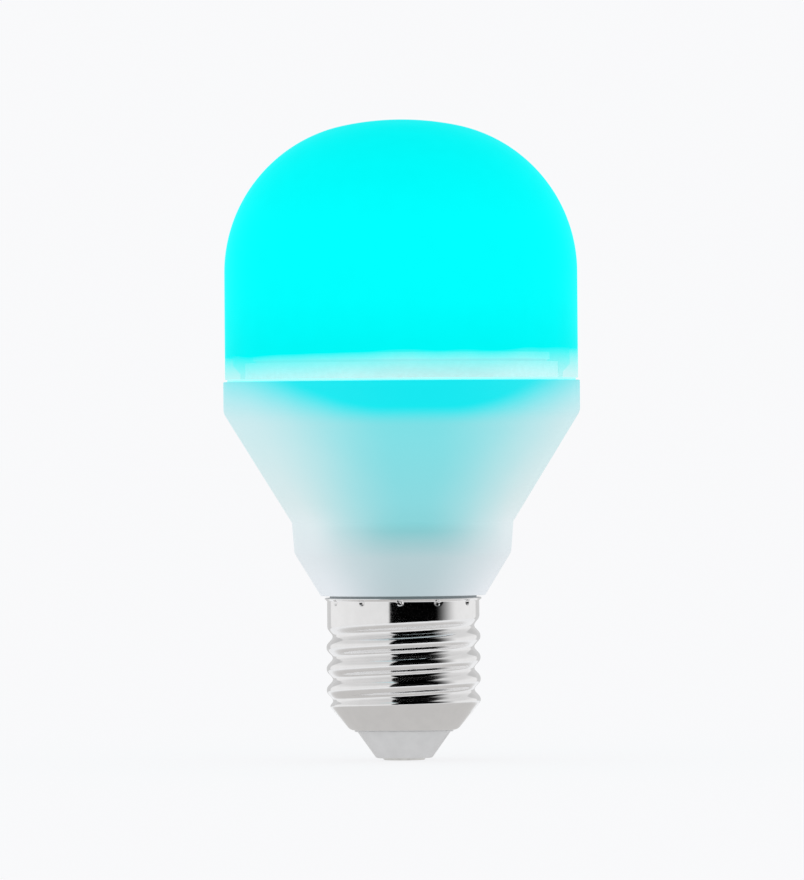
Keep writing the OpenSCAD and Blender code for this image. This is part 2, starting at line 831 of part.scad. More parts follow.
module swept(route, r, sides = 8) {
    frames = sides_of(route);
    n = len(route);
    points = [
        for (i = [0:n - 1], k = [0:sides - 1])
            let (t = along(route, i), s = frames[i], u = cross(t, s), a = 360 * k / sides)
            route[i] + r * (cos(a) * s + sin(a) * u)
    ];
    faces = concat(
        [[for (k = [0:sides - 1]) k]],
        [for (i = [0:n - 2], k = [0:sides - 1], half = [0, 1])
            let (
                a = i * sides + k,
                b = i * sides + (k + 1) % sides,
                c = a + sides,
                d = b + sides
            )
            half == 0 ? [a, c, b] : [b, c, d]],
        [[for (k = [sides - 1:-1:0]) (n - 1) * sides + k]]
    );
    polyhedron(points = points, faces = faces);
}

lead_r = 0.65;
z_stem_top = z_thread_0 + 1.8;
resistor_r = 1.3;
resistor_l = 5.4;
z_resistor = z_stem_top + 1.6;
resistor_lead_r = 0.3;

module fusible_resistor() {
    cap_l = 1.1;
    waist = 0.15;
    tail = 1;
    color([0.75, 0.68, 0.5]) translate([0, 0, z_resistor]) turned([
        [0, -3.1], [resistor_lead_r, -3.1], [resistor_lead_r, 0], [resistor_r, 0], [resistor_r, cap_l],
        [resistor_r - waist, cap_l + waist], [resistor_r - waist, resistor_l - cap_l - waist],
        [resistor_r, resistor_l - cap_l], [resistor_r, resistor_l],
        [resistor_lead_r, resistor_l], [resistor_lead_r, resistor_l + tail], [0, resistor_l + tail]
    ]);
}

module resistor_sleeve() {
    sleeve_wall = 0.3;
    inner = resistor_r + pin_play;
    color([0.9, 0.88, 0.8]) translate([0, 0, z_resistor - 0.7]) difference() {
        cylinder(r = inner + sleeve_wall, h = resistor_l + 1.4);
        translate([0, 0, -1]) cylinder(r = inner, h = resistor_l + 4);
    }
}

z_resistor_tail = z_resistor + resistor_l + 1;
lead_x = 4.1;
lead_y = back + lead_r + pin_play;

module live_lead() {
    color([0.65, 0.12, 0.1]) swept(smooth([
        [0, 0, z_resistor_tail], [0, 0, z_resistor_tail + 0.2], [1.2, 0.8, z_resistor_tail + 0.9],
        [0.7 * lead_x, lead_y, z_driver - 0.3],
        [lead_x, lead_y, z_driver + 0.9], [lead_x, lead_y, z_driver + 2.4]
    ], 5), lead_r);
}

module neutral_lead() {
    out_r = root_r - shell_wall - lead_r - pin_play;
    color([0.15, 0.3, 0.62]) swept(smooth([
        [-lead_x, lead_y, z_driver + 2.4], [-lead_x, lead_y, z_driver - 0.2],
        [-0.65 * bore_r, 0.8 * lead_y, z_driver - 3], [-bore_r + 1.8, 0.3, z_spigot + 2.6],
        [-bore_r + 0.6, 0, z_spigot + 1], [-out_r + 0.5, 0, z_spigot + 0.9],
        [-out_r, 0, z_spigot + 1.6], [-out_r, 0, z_spigot + 3]
    ], 4), lead_r);
}

// ---------------------------------------------------------------- screw cap

thread_sides = 40;
rows_per_turn = 11;
thread_rows = ceil((z_thread_1 - z_thread_0) / thread_pitch * rows_per_turn);
rim_overlap = 0.15;
end_tilt = 50; // of the shell's sloping end, up from level
end_corner_r = shell_hole_r + 0.7;
end_top_r = end_corner_r + shell_end_h / tan(end_tilt);

function step(t) = let (u = min(max(t, 0), 1)) u * u * (3 - 2 * u);
function blend_min(a, b, width) = min(a, b) - pow(max(width - abs(a - b), 0), 2) / (4 * width);

// Radius of the sheet's outside at height z and t degrees round from the front.
// The wave follows the helix; its last hollow rises into the rim and runs out at the back.
function sheet_r(z, t) =
    let (
        phase = 360 * (z - z_run_in) / thread_pitch - t,
        top = phase > -180 ? rim_r : crest_r,
        wave = (top + root_r) / 2 + (top - root_r) / 2 * cos(phase),
        depth = phase > -360 ? step((165 - t) / 80) : 1,
        thread = phase > 0 ? rim_r : rim_r + (wave - rim_r) * depth,
        slope = end_top_r + (z - z_thread_0) / tan(end_tilt)
    )
    blend_min(thread, slope, 0.5);

// A ring of points round the axis; t runs from the back round by the front
function ring(r, z) = [
    for (k = [0:thread_sides - 1]) let (a = 360 * k / thread_sides) [r * cos(a), r * sin(a), z]
];
function thread_ring(z, inset) = [
    for (k = [0:thread_sides - 1])
        let (a = 360 * k / thread_sides, t = (a + 270) % 360 - 180, r = sheet_r(z, t) - inset)
        [r * cos(a), r * sin(a), z]
];

// Rings of the sheet, from the hole in its end up to just inside the rim
function end_rings(inset) = let (z = z_shell_0 + inset) [
    for (p = concat([[shell_hole_r, z]], rounded(
        [0, z], [end_corner_r - inset * tan(end_tilt / 2), z], [end_top_r - inset, z_thread_0], 1.4 - inset, 4
    ))) ring(p[0], p[1])
];
function sheet_rings(inset) =
    [for (j = [0:thread_rows]) thread_ring(z_thread_0 + (z_thread_1 - z_thread_0) * j / thread_rows, inset)];

module threaded_sheet() {
    tie = 0.1; // keeps the sheet's end inside the rim's wall
    z_tie = z_thread_1 + 2 * rim_overlap;
    outer = concat(end_rings(0), sheet_rings(0), [ring(rim_r - tie, z_tie)]);
    inner = concat(end_rings(shell_wall), sheet_rings(shell_wall), [ring(rim_r - shell_wall + tie, z_tie)]);
    sides = thread_sides;
    rows = len(outer);
    first_in = rows * sides;
    points = [for (face = [outer, inner], one = face, p = one) p];
    // Two triangles for each four-cornered cell: [row, place in the row, its neighbour]
    cells = [for (i = [0:rows - 2], k = [0:sides - 1]) [i * sides + k, i * sides + (k + 1) % sides]];
    ends = [for (i = [0, rows - 1], k = [0:sides - 1]) [i * sides + k, i * sides + (k + 1) % sides, i]];
    faces = concat(
        [for (c = cells) each [[c[0], c[0] + sides, c[1]], [c[1], c[0] + sides, c[1] + sides]]],
        [for (c = cells) let (a = c[0] + first_in, b = c[1] + first_in)
            each [[a, b, a + sides], [b, b + sides, a + sides]]],
        [for (c = ends) let (a = c[0], b = c[1], d = a + first_in, e = b + first_in)
            each c[2] == 0 ? [[a, b, d], [b, e, d]] : [[a, d, b], [b, d, e]]]
    );
    polyhedron(points = points, faces = faces);
}

// Cone that points inwards from radius r, for a crimp dent
module dents(r, r1, r2) {
    start = 0.1;
    ring_of(crimps, r + start, crimp_turn) translate([0, 0, z_crimp]) rotate([0, -90, 0])
        cylinder(r1 = r1, r2 = r2, h = crimp_depth + start);
}

module shell_rim() {
    lip_t = 0.3;
    z_0 = z_thread_1 + rim_overlap;
    difference() {
        union() {
            turned([
                [rim_r - shell_wall, z_0], [rim_r, z_0],
                [rim_r, z_shell_1 - lip_t - rim_lip / 2], [rim_r + rim_lip, z_shell_1 - lip_t],
                [rim_r + rim_lip, z_shell_1], [rim_r - shell_wall, z_shell_1]
            ]);
            dents(rim_r - shell_wall, crimp_r, crimp_r * 0.5);
        }
        dents(rim_r, crimp_r * 0.9, crimp_r * 0.35);
    }
}

module screw_shell() {
    color(plated) {
        threaded_sheet();
        shell_rim();
    }
}

stem_r = 1.2;
contact_t = 0.8;

module cap_insulator() {
    step_r = shell_hole_r - 0.5;
    hole_r = shell_hole_r - pin_play;
    inner_r = shell_hole_r + 0.8;
    z_lock = z_shell_0 + shell_wall + 0.7;
    z_inner = z_thread_0 + 1.1;
    recess_r = contact_d / 2 + pin_play;
    bore = stem_r + pin_play;
    z_step = z_shell_0 - step_h;
    color(plastic_white) turned(concat(
        [[bore, contact_t], [recess_r, contact_t], [recess_r, contact_proud]],
        rounded([recess_r, contact_proud], [insulator_end_d / 2, contact_proud], [step_r, z_step], 0.6, 3),
        [[step_r, z_step], [hole_r, z_step], [hole_r, z_lock - 0.3], [inner_r, z_lock]],
        [[inner_r, z_inner], [bore, z_inner]]
    ));
}

module end_contact() {
    head_r = contact_d / 2;
    hole_r = resistor_lead_r + pin_play;
    edge = 0.25;
    color(plated) difference() {
        turned([
            [0, 0], [head_r - edge - 0.2, 0], [head_r, edge], [head_r, contact_t],
            [stem_r, contact_t], [stem_r, z_stem_top], [0, z_stem_top]
        ]);
        translate([0, 0, z_stem_top - 2]) cylinder(r = hole_r, h = 3);
    }
}

// ---------------------------------------------------------------- nodes

diffuser_dome();
seam_sealant();
housing();
heat_sink();
insulating_liner();
thermal_pad();
light_board();
cool_white_emitters();
warm_white_emitters();
colour_emitters();
current_regulator();
light_board_screws();
driver_board();
bridge_rectifier();
surge_varistor();
filter_choke_core();
filter_choke_winding();
film_capacitor();
mains_capacitor();
transformer_core();
transformer_bobbin();
transformer_winding();
switching_controller();
output_diode();
output_capacitor();
chip_resistors();
chip_capacitors();
radio_board();
radio_shield();
radio_aerial();
header_block();
header_pins();
fusible_resistor();
resistor_sleeve();
live_lead();
neutral_lead();
screw_shell();
cap_insulator();
end_contact();
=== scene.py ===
"""Smart light bulb with a lit dome: every finished piece and material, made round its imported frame.

Lengths are in metres, +Z runs up the bulb's axis and -Y faces the viewer.
"""

import math

import bmesh
import bpy
from bpy.props import FloatProperty, FloatVectorProperty, IntProperty, PointerProperty
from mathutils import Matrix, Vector


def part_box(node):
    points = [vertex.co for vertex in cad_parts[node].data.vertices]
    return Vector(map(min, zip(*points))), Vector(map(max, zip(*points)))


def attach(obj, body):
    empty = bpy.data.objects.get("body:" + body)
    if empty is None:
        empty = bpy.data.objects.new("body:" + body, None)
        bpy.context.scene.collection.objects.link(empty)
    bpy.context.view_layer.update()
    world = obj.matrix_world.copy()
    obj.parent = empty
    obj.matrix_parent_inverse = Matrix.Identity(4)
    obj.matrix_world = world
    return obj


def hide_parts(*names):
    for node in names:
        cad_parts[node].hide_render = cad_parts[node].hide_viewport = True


bl_info = {
    "name": "Smart light bulb",
    "version": (1, 0, 0),
    "blender": (4, 5, 0),
    "location": "3D View > Sidebar > Bulb",
    "description": "Builds the finished pieces of a smart light bulb round its frame",
    "category": "Object",
}

MM = 0.001
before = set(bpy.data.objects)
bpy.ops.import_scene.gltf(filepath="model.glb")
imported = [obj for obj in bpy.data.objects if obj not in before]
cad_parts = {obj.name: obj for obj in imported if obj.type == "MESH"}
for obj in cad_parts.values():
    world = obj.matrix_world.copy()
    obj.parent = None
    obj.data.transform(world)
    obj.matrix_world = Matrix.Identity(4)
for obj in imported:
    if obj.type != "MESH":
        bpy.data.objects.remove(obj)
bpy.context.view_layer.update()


# ---------------------------------------------------------------- the frame's own sizes


def low(node, axis):
    """Lowest place of a node along x, y or z."""
    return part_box(node)[0]["xyz".index(axis)]


def high(node, axis):
    """Highest place of a node along x, y or z."""
    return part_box(node)[1]["xyz".index(axis)]


Z_TOP = high("diffuser_dome", "z")
Z_LIP = low("diffuser_dome", "z")
DOME_R = high("diffuser_dome", "x")
Z_RIM = low("seam_sealant", "z")
Z_DOME = high("seam_sealant", "z")
SEAL_R = high("seam_sealant", "x")
COLLAR_R = high("housing", "x")
Z_SPIGOT = low("housing", "z")
Z_LEDGE = low("heat_sink", "z")
Z_SHELL = low("screw_shell", "z")
Z_SHELL_TOP = high("screw_shell", "z")
Z_INNER = high("cap_insulator", "z")
Z_STEM = high("end_contact", "z")
Z_DRIVER = low("driver_board", "z")
BOARD_FACE = high("driver_board", "y")

# Sizes that several pieces share
Z_CAP_TOP = Z_SHELL_TOP + 0.35 * MM
SPIGOT_R = 11.5 * MM
SHELL_CORNER = 0.7 * MM
PIN_X = 2.85 * MM
LEAD_X = 4.1 * MM


# ---------------------------------------------------------------- sizes and colours to change


def size(label, text, millimetres):
    return FloatProperty(
        name=label, description=text, default=millimetres * MM, min=0, subtype="DISTANCE", unit="LENGTH"
    )


def angle(label, text, degrees):
    return FloatProperty(
        name=label, description=text, default=math.radians(degrees), subtype="ANGLE", unit="ROTATION"
    )


def number(label, text, value):
    return FloatProperty(name=label, description=text, default=value, min=0)


def count(label, text, value):
    return IntProperty(name=label, description=text, default=value, min=1)


def colour(label, text, value):
    return FloatVectorProperty(
        name=label, description=text, default=value, min=0, max=1, size=3, subtype="COLOR"
    )


class DomeSettings(bpy.types.PropertyGroup):
    wall: size("Wall", "Wall of the dome", 1.4)
    shoulder_offset: size("Shoulder offset", "How far from the axis the shoulder's arc has its centre", 4.5)
    crown_extra: size("Crown", "How much larger the crown's arc is than the shoulder's", 22)
    lip_wall: size("Lip", "Wall of the lip that plugs into the housing", 1.3)
    glow: colour("Glow", "Light of the dome at its brightest", (0.0, 1.0, 1.0))
    clear: number("Clear skirt", "Share of light that the skirt lets straight through at its edge", 0.56)
    clear_h: size("Clear height", "Height above the seam at which the skirt has turned opaque", 4.5)


class HousingSettings(bpy.types.PropertyGroup):
    upper_h: size("Upper cone", "Height of the upper cone", 18.7)
    band_r: size("Band", "Radius of the band at its upper edge", 18.85)
    band_taper: size("Band taper", "How much the band's radius shrinks downwards", 0.4)
    band_h: size("Band height", "Height of the band", 5.2)
    lower_h: size("Lower cone", "Height of the lower cone", 7.3)
    neck_r: size("Neck", "Radius of the lower edge", 14)
    wall: size("Wall", "Wall of the cones", 1.6)
    rim_wall: size("Rim wall", "Wall of the collar", 1.45)
    ledge_w: size("Ledge", "Width of the ledge under the heat sink", 1.4)
    floor_t: size("Floor", "Height of the floor above the lower edge", 1.4)
    spigot_wall: size("Spigot wall", "Wall of the spigot inside the cap", 1.5)
    pool: number("Pool", "Depth of the pool of light under the seam in millimetres", 7.2)


class CapSettings(bpy.types.PropertyGroup):
    crest_r: size("Crest", "Radius over the thread's crests", 13.1)
    thread_depth: size("Thread depth", "Depth of the thread", 1.05)
    groove: number("Groove", "How narrow the grooves are next to the crests; 1 makes them alike", 1.25)
    pitch: size("Pitch", "Rise of the thread in one turn", 3.629)
    rim_r: size("Rim", "Radius of the plain rim", 12.95)
    rim_h: size("Rim height", "Height of the plain rim above the thread", 3.9)
    lip: size("Lip", "How far the rim's lip turns out", 0.4)
    sheet: size("Sheet", "Thickness of the shell's sheet", 0.35)
    hole_r: size("Hole", "Radius of the hole in the shell's end", 8.45)
    end_h: size("Sloping end", "Rise of the shell's sloping end", 2.8)
    end_tilt: angle("End tilt", "Slope of the shell's end, up from level", 50)
    crimps: count("Crimps", "Number of crimp dents round the rim", 12)
    crimp_turn: angle("Crimp turn", "Where the first dent stands round the rim", -92.7)
    crimp_r: size("Dent", "Radius of a crimp dent", 0.6)
    crimp_depth: size("Dent depth", "Depth of a crimp dent", 0.45)
    plate: colour("Plate", "Colour of the bright plating", (0.84, 0.835, 0.835))


class StageSettings(bpy.types.PropertyGroup):
    backdrop: colour("Backdrop", "Light of the backdrop and the floor", (0.947, 0.95, 0.962))
    floor_size: FloatProperty(name="Floor", description="Width of the floor", default=40, subtype="DISTANCE")
    camera_distance: FloatProperty(
        name="Camera distance", description="From the lens to the axis", default=1.86, subtype="DISTANCE"
    )
    camera_height: size("Camera height", "Height of the lens above the floor", 54.45)
    lens: number("Lens", "Focal length in millimetres", 447)
    roll: angle("Roll", "How far the camera is rolled", 0.42)
    stripe_from: angle("Stripe from", "Left edge of the dark stripe, round from the viewer", -20)
    stripe_to: angle("Stripe to", "Right edge of the dark stripe, round from the viewer", 49)
    stripe_fade: angle("Stripe fade", "How far the stripe fades out past its right edge", 36)
    tent_r: size("Tent", "Radius of the light tent", 95)


GROUPS = {
    "bulb_dome": DomeSettings,
    "bulb_housing": HousingSettings,
    "bulb_cap": CapSettings,
    "bulb_stage": StageSettings,
}


# ---------------------------------------------------------------- fields and node trees


def four(value):
    """A colour as a node socket wants it."""
    return (*value, 1.0) if hasattr(value, "__len__") and len(value) == 3 else value


def join(tree, value, socket):
    """Sets a socket to a plain value, or links it to a field."""
    if isinstance(value, Field):
        tree.links.new(value.socket, socket)
    elif socket.type == "RGBA":
        socket.default_value = four(value)
    else:
        socket.default_value = value


def add_node(tree, kind, inputs=(), output=0, **settings):
    """Adds a node with its settings and inputs, and gives one of its outputs as a field."""
    node = tree.nodes.new(kind)
    for key, value in settings.items():
        setattr(node, key, value)
    for key, value in dict(inputs).items():
        join(tree, value, node.inputs[key])
    return Field(tree, node.outputs[output])


class Field:
    """A value in a node tree. Plain arithmetic on it adds the nodes that work the result out."""

    def __init__(self, tree, socket):
        self.tree = tree
        self.socket = socket

    def math(self, operation, *others):
        return add_node(
            self.tree, "ShaderNodeMath", dict(enumerate((self, *others))), operation=operation
        )

    def __add__(self, other):
        return self.math("ADD", other)

    __radd__ = __add__

    def __sub__(self, other):
        return self.math("SUBTRACT", other)

    def __rsub__(self, other):
        return self.math("MULTIPLY_ADD", -1.0, other)

    def __mul__(self, other):
        return self.math("MULTIPLY", other)

    __rmul__ = __mul__

    def __truediv__(self, other):
        return self.math("DIVIDE", other)

    def __gt__(self, other):
        return self.math("GREATER_THAN", other)

    def __pow__(self, other):
        return self.math("POWER", other)

    def __abs__(self):
        return self.math("ABSOLUTE")

    def wrapped(self, span):
        """Folded into the span from -span / 2 to span / 2."""
        return self.math("WRAP", span / 2, -span / 2)

    def eased(self, start, end):
        """0 up to start and 1 past end, with an eased rise between them."""
        return add_node(
            self.tree, "ShaderNodeMapRange", {0: self, 1: start, 2: end}, interpolation_type="SMOOTHSTEP"
        )

    def pick(self, when_one, when_zero):
        """One value where this field is 1, and the other where it is 0."""
        return when_zero + (when_one - when_zero) * self


def hypot(a, b):
    return (a * a + b * b).math("SQRT")


def blend(share, one, other):
    """Mixes two colours; a share of 0 is all the first."""
    tree = share.tree
    return add_node(tree, "ShaderNodeMix", {0: share, 6: one, 7: other}, output=2, data_type="RGBA")


class Tree:
    """A node tree being made, for a material or for a geometry rule, with the place as x, y and z."""

    def add(self, kind, inputs=(), **settings):
        return add_node(self.tree, kind, inputs, **settings)

    def split(self, vector):
        node = self.tree.nodes.new("ShaderNodeSeparateXYZ")
        self.tree.links.new(vector.socket, node.inputs[0])
        return [Field(self.tree, output) for output in node.outputs]

    def vector(self, x, y, z):
        return self.add("ShaderNodeCombineXYZ", {0: x, 1: y, 2: z})

    def turn(self):
        """Angle round the axis from the front, from -pi to pi, rising towards +X."""
        return self.x.math("ARCTAN2", self.y * -1.0)


class Finish(Tree):
    """A material being made: its shader and the piece's own place in millimetres, as fields."""

    def __init__(self, name, colour=(0.8, 0.8, 0.8), **values):
        self.material = bpy.data.materials.new(name)
        self.material.use_nodes = True
        self.tree = self.material.node_tree
        self.shader = self.tree.nodes["Principled BSDF"]
        self.material.diffuse_color = four(colour)
        self.set("Base Color", colour)
        for key, value in values.items():
            self.set(key.replace("_", " "), value)
        coordinates = self.add("ShaderNodeTexCoord", output="Object")
        self.place = self.add("ShaderNodeVectorMath", {0: coordinates, "Scale": 1 / MM}, operation="SCALE")
        self.x, self.y, self.z = self.split(self.place)
        self.radius = hypot(self.x, self.y)
        self.colour = colour

    def set(self, socket, value):
        join(self.tree, value, self.shader.inputs[socket])

    def glow(self, colour, strength=1.0):
        self.set("Emission Color", colour)
        self.set("Emission Strength", strength)

    def noise(self, scale, detail=3.0, at=None):
        return self.add("ShaderNodeTexNoise", {"Vector": at or self.place, "Scale": scale, "Detail": detail})

    def ramp(self, share, stops):
        """A colour that runs through (place, red, green, blue) stops."""
        node = self.tree.nodes.new("ShaderNodeValToRGB")
        for spare in range(len(stops) - 2):
            node.color_ramp.elements.new(0.5)
        for element, (place, *shade) in zip(node.color_ramp.elements, stops):
            element.position = place
        for element, (place, *shade) in zip(node.color_ramp.elements, stops):
            element.color = four(shade)
        join(self.tree, share, node.inputs[0])
        return Field(self.tree, node.outputs[0])

    def mottled(self, amount, scale, colour=None):
        """The base colour, lighter and darker in soft patches."""
        base = colour or self.colour
        light = [min(1.0, c * (1 + amount)) for c in base]
        dark = [c * (1 - amount) for c in base]
        self.set("Base Color", blend(self.noise(scale).eased(0.3, 0.7), dark, light))

    def rough(self, least, most, scale, at=None):
        """Roughness that wanders between two values."""
        self.set("Roughness", self.noise(scale, at=at).eased(0.3, 0.7) * (most - least) + least)

    def bump(self, height, depth, strength=1.0):
        """Relief of a height field, with its full depth in millimetres."""
        normal = self.add(
            "ShaderNodeBump", {"Height": height, "Distance": depth * MM, "Strength": strength}
        )
        self.set("Normal", normal)

    def grain(self, scale, depth, detail=4.0, at=None):
        self.bump(self.noise(scale, detail, at), depth)


# ---------------------------------------------------------------- outlines and meshes


def arc(middle_r, middle_z, radius, start, end, steps):
    """Points on an arc in the plane of radius and height, with angles in radians."""
    turns = [start + (end - start) * i / steps for i in range(steps + 1)]
    return [(middle_r + radius * math.cos(t), middle_z + radius * math.sin(t)) for t in turns]


def filleted(corners, steps=6):
    """Closed outline through (radius, height) corners; a third number rounds that corner."""
    outline = []
    for i, corner in enumerate(corners):
        here = Vector(corner[:2])
        if len(corner) < 3:
            outline.append(tuple(here))
            continue
        before = (Vector(corners[i - 1][:2]) - here).normalized()
        after = (Vector(corners[(i + 1) % len(corners)][:2]) - here).normalized()
        half = before.angle(after) / 2
        middle = here + (before + after).normalized() * corner[2] / math.sin(half)
        start = here + before * corner[2] / math.tan(half) - middle
        sweep = start.angle_signed(here + after * corner[2] / math.tan(half) - middle)
        first = math.atan2(start.y, start.x)
        outline += arc(middle.x, middle.y, corner[2], first, first - sweep, steps)
    return outline


def even_turns(sides):
    return [2 * math.pi * k / sides for k in range(sides)]


def turned(outline, turns):
    """Mesh of a closed outline of (radius, height) points, turned about the axis."""
    mesh = bmesh.new()
    rings = []
    for r, z in outline:
        around = turns if r > 0 else [0]
        rings.append([mesh.verts.new((r * math.cos(t), r * math.sin(t), z)) for t in around])
    for ring, after in zip(rings, rings[1:] + rings[:1]):
        for k in range(len(turns)):
            corners = [
                ring[k % len(ring)],
                ring[(k + 1) % len(ring)],
                after[(k + 1) % len(after)],
                after[k % len(after)],
            ]
            corners = list(dict.fromkeys(corners))
            if len(corners) > 2:
                mesh.faces.new(corners)
    bmesh.ops.recalc_face_normals(mesh, faces=mesh.faces)
    return mesh


def block(mesh, lowest, highest):
    """Adds a box between two corners to a mesh."""
    corners = [mesh.verts.new((x, y, z)) for x in (0, 1) for y in (0, 1) for z in (0, 1)]
    for vert in corners:
        vert.co = Vector([(lowest, highest)[round(c)][k] for k, c in enumerate(vert.co)])
    for face in ((0, 1, 3, 2), (4, 6, 7, 5), (0, 4, 5, 1), (2, 3, 7, 6), (0, 2, 6, 4), (1, 5, 7, 3)):
        mesh.faces.new([corners[k] for k in face])


def make_piece(name, mesh, sharp=35):
    """Turns a bmesh or a mesh into a smooth-shaded object in the scene, with its hard edges kept."""
    if isinstance(mesh, bmesh.types.BMesh):
        data = bpy.data.meshes.new(name)
        mesh.to_mesh(data)
        mesh.free()
    else:
        data = mesh
    data.shade_smooth()
    data.set_sharp_from_angle(angle=math.radians(sharp))
    piece = bpy.data.objects.new(name, data)
    bpy.context.scene.collection.objects.link(piece)
    return piece


def evaluated(piece):
    """A plain mesh of a piece with its modifiers applied. The piece itself is removed."""
    graph = bpy.context.evaluated_depsgraph_get()
    mesh = bpy.data.meshes.new_from_object(piece.evaluated_get(graph))
    bpy.data.objects.remove(piece)
    return mesh


def fit(piece, finish, slot, *nodes):
    """Gives a finished piece its material, its body and its finish, in place of the nodes it stands for."""
    piece.data.materials.clear()
    piece.data.materials.append(finish.material)
    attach(piece, "root")
    if nodes:
        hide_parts(*nodes)


def dress(node, finish):
    """Gives a node of the frame its material."""
    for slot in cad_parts[node].material_slots:
        slot.material = finish.material


# ---------------------------------------------------------------- geometry node trees


class Rule(Tree):
    """A geometry node tree that reshapes or fills a piece, with named inputs for its sizes."""

    def __init__(self, name, **sizes):
        self.tree = bpy.data.node_groups.new(name, "GeometryNodeTree")
        face = self.tree.interface
        face.new_socket(name="Geometry", in_out="INPUT", socket_type="NodeSocketGeometry")
        self.sockets = {}
        for label, value in sizes.items():
            kind = "NodeSocketInt" if isinstance(value, int) else "NodeSocketFloat"
            self.sockets[label] = face.new_socket(name=label, in_out="INPUT", socket_type=kind)
        face.new_socket(name="Geometry", in_out="OUTPUT", socket_type="NodeSocketGeometry")
        self.sizes = sizes
        inputs = self.tree.nodes.new("NodeGroupInput")
        self.geometry = Field(self.tree, inputs.outputs["Geometry"])
        self.inputs = {label: Field(self.tree, inputs.outputs[label]) for label in sizes}
        self.x, self.y, self.z = self.split(self.add("GeometryNodeInputPosition"))

    def grow(self, name, seed, geometry, finish, sharp=35):
        """Ends the tree, runs it on a seed object and gives the plain piece that comes out."""
        real = self.add("GeometryNodeRealizeInstances", {"Geometry": geometry})
        painted = self.add("GeometryNodeSetMaterial", {"Geometry": real, "Material": finish.material})
        output = self.tree.nodes.new("NodeGroupOutput")
        self.tree.links.new(painted.socket, output.inputs[0])
        modifier = seed.modifiers.new("rule", "NODES")
        modifier.node_group = self.tree
        for label, value in self.sizes.items():
            modifier[self.sockets[label].identifier] = value
        return make_piece(name, evaluated(seed), sharp)


# ---------------------------------------------------------------- dome and seam


def dome_line(settings, inset, steps=40):
    """Outline of the dome from the skirt to the crown, inset from its outer face."""
    shoulder_r = DOME_R - settings.shoulder_offset
    crown_r = shoulder_r + settings.crown_extra
    z_crown = Z_TOP - crown_r
    rise = math.sqrt(settings.crown_extra**2 - settings.shoulder_offset**2)
    meet = math.atan2(rise, settings.shoulder_offset)
    shoulder = arc(settings.shoulder_offset, z_crown + rise, shoulder_r - inset, 0, meet, steps)
    crown = arc(0, z_crown, crown_r - inset, meet, math.pi / 2, steps // 3)
    crown[-1] = (0, crown[-1][1])
    return shoulder + crown[1:]


def dome_finish(settings):
    """Glowing diffuser: even light on top, and a partly clear skirt through which the heat sink's rim shows,
    its glow painted pale towards the seam as painted light for the lit rim behind it.
    """
    made = Finish("lit_dome", (0.0, 0.05, 0.05), Roughness=0.35, Specular_IOR_Level=0.04, IOR=1.12)
    made.set("Base Color", blend(made.noise(0.3, 1.0), (0.0, 0.03, 0.03), (0.0, 0.06, 0.06)))
    rise = (made.z - Z_DOME / MM) / ((Z_TOP - Z_DOME) / MM)
    patches = made.noise(0.05, 1.0) * 0.02 - 0.01
    levels = ((0.0, 0.9), (0.12, 0.89), (0.3, 0.955), (0.6, 0.965), (0.82, 0.915), (1.0, 0.86))
    glow = settings.glow
    stops = [(place, *(min(1.0, level * c) for c in glow)) for place, level in levels]
    shine = made.ramp(rise + patches, stops)
    clear_h = settings.clear_h / MM
    left = (made.x * 0.02 + made.noise(0.12, 0.0) + (Z_DOME / MM + clear_h - 0.5) - made.z) / clear_h
    through = left.math("MAXIMUM", 0.0).math("MINIMUM", 1.0) ** 0.9 * settings.clear
    # Painted light: near the seam the skirt's glow turns pale in place of the lit heat sink rim behind it;
    # the alpha below also lets the real rim show through
    made.glow(blend(through, shine, (0.6, 0.84, 0.84)))
    made.set("Alpha", 1.0 - (through * 0.75).math("SQRT"))
    made.bump(made.noise(0.8, 2.0), 0.01)
    return made


class BULB_OT_dome(bpy.types.Operator):
    """Turns the dome with its lip and gives it its glow"""

    bl_idname = "bulb.dome"
    bl_label = "Dome"

    def execute(self, context):
        settings = context.scene.bulb_dome
        lip_r = SEAL_R - 0.95 * MM
        lip_in_r = lip_r - settings.lip_wall
        edge = 0.15 * MM
        bevel_foot = 1 * MM
        bevel_top = 2.4 * MM
        skirt_h = 4 * MM
        ends = filleted([
            (lip_in_r, Z_LIP, edge),
            (lip_r, Z_LIP, edge),
            (lip_r, Z_DOME),
            (DOME_R, Z_DOME, edge),
            (DOME_R, Z_DOME + skirt_h),
            (DOME_R - settings.wall, Z_DOME + bevel_top),
            (lip_in_r, Z_DOME + bevel_foot),
        ])
        outline = ends[:-2] + dome_line(settings, 0) + dome_line(settings, settings.wall)[::-1] + ends[-2:]
        piece = make_piece("glowing_dome", turned(outline, even_turns(192)))
        fit(piece, dome_finish(settings), "dome", "diffuser_dome")
        return {"FINISHED"}


class BULB_OT_seam(bpy.types.Operator):
    """Runs the bead of sealant between the dome and the housing"""

    bl_idname = "bulb.seam"
    bl_label = "Seam"

    def execute(self, context):
        made = Finish("sealant", (0.45, 0.85, 0.86), Roughness=0.45)
        # Painted light: the sealant is no lamp, but it is given a pale cyan glow for the dome's light
        # shining through it
        made.glow((0.3, 0.82, 0.84), 0.55)
        made.mottled(0.03, 1.5)
        made.grain(1.2, 0.03)
        inner_r = SEAL_R - 0.8 * MM
        half = (Z_DOME - Z_RIM) / 2
        bulge = arc(SEAL_R - half, (Z_DOME + Z_RIM) / 2, half, -math.pi / 2, math.pi / 2, 8)
        outline = [(inner_r, Z_DOME), (inner_r, Z_RIM)] + bulge
        piece = make_piece("seam_bead", turned(outline, even_turns(192)))
        fit(piece, made, "sealant", "seam_sealant")
        return {"FINISHED"}


# ---------------------------------------------------------------- housing


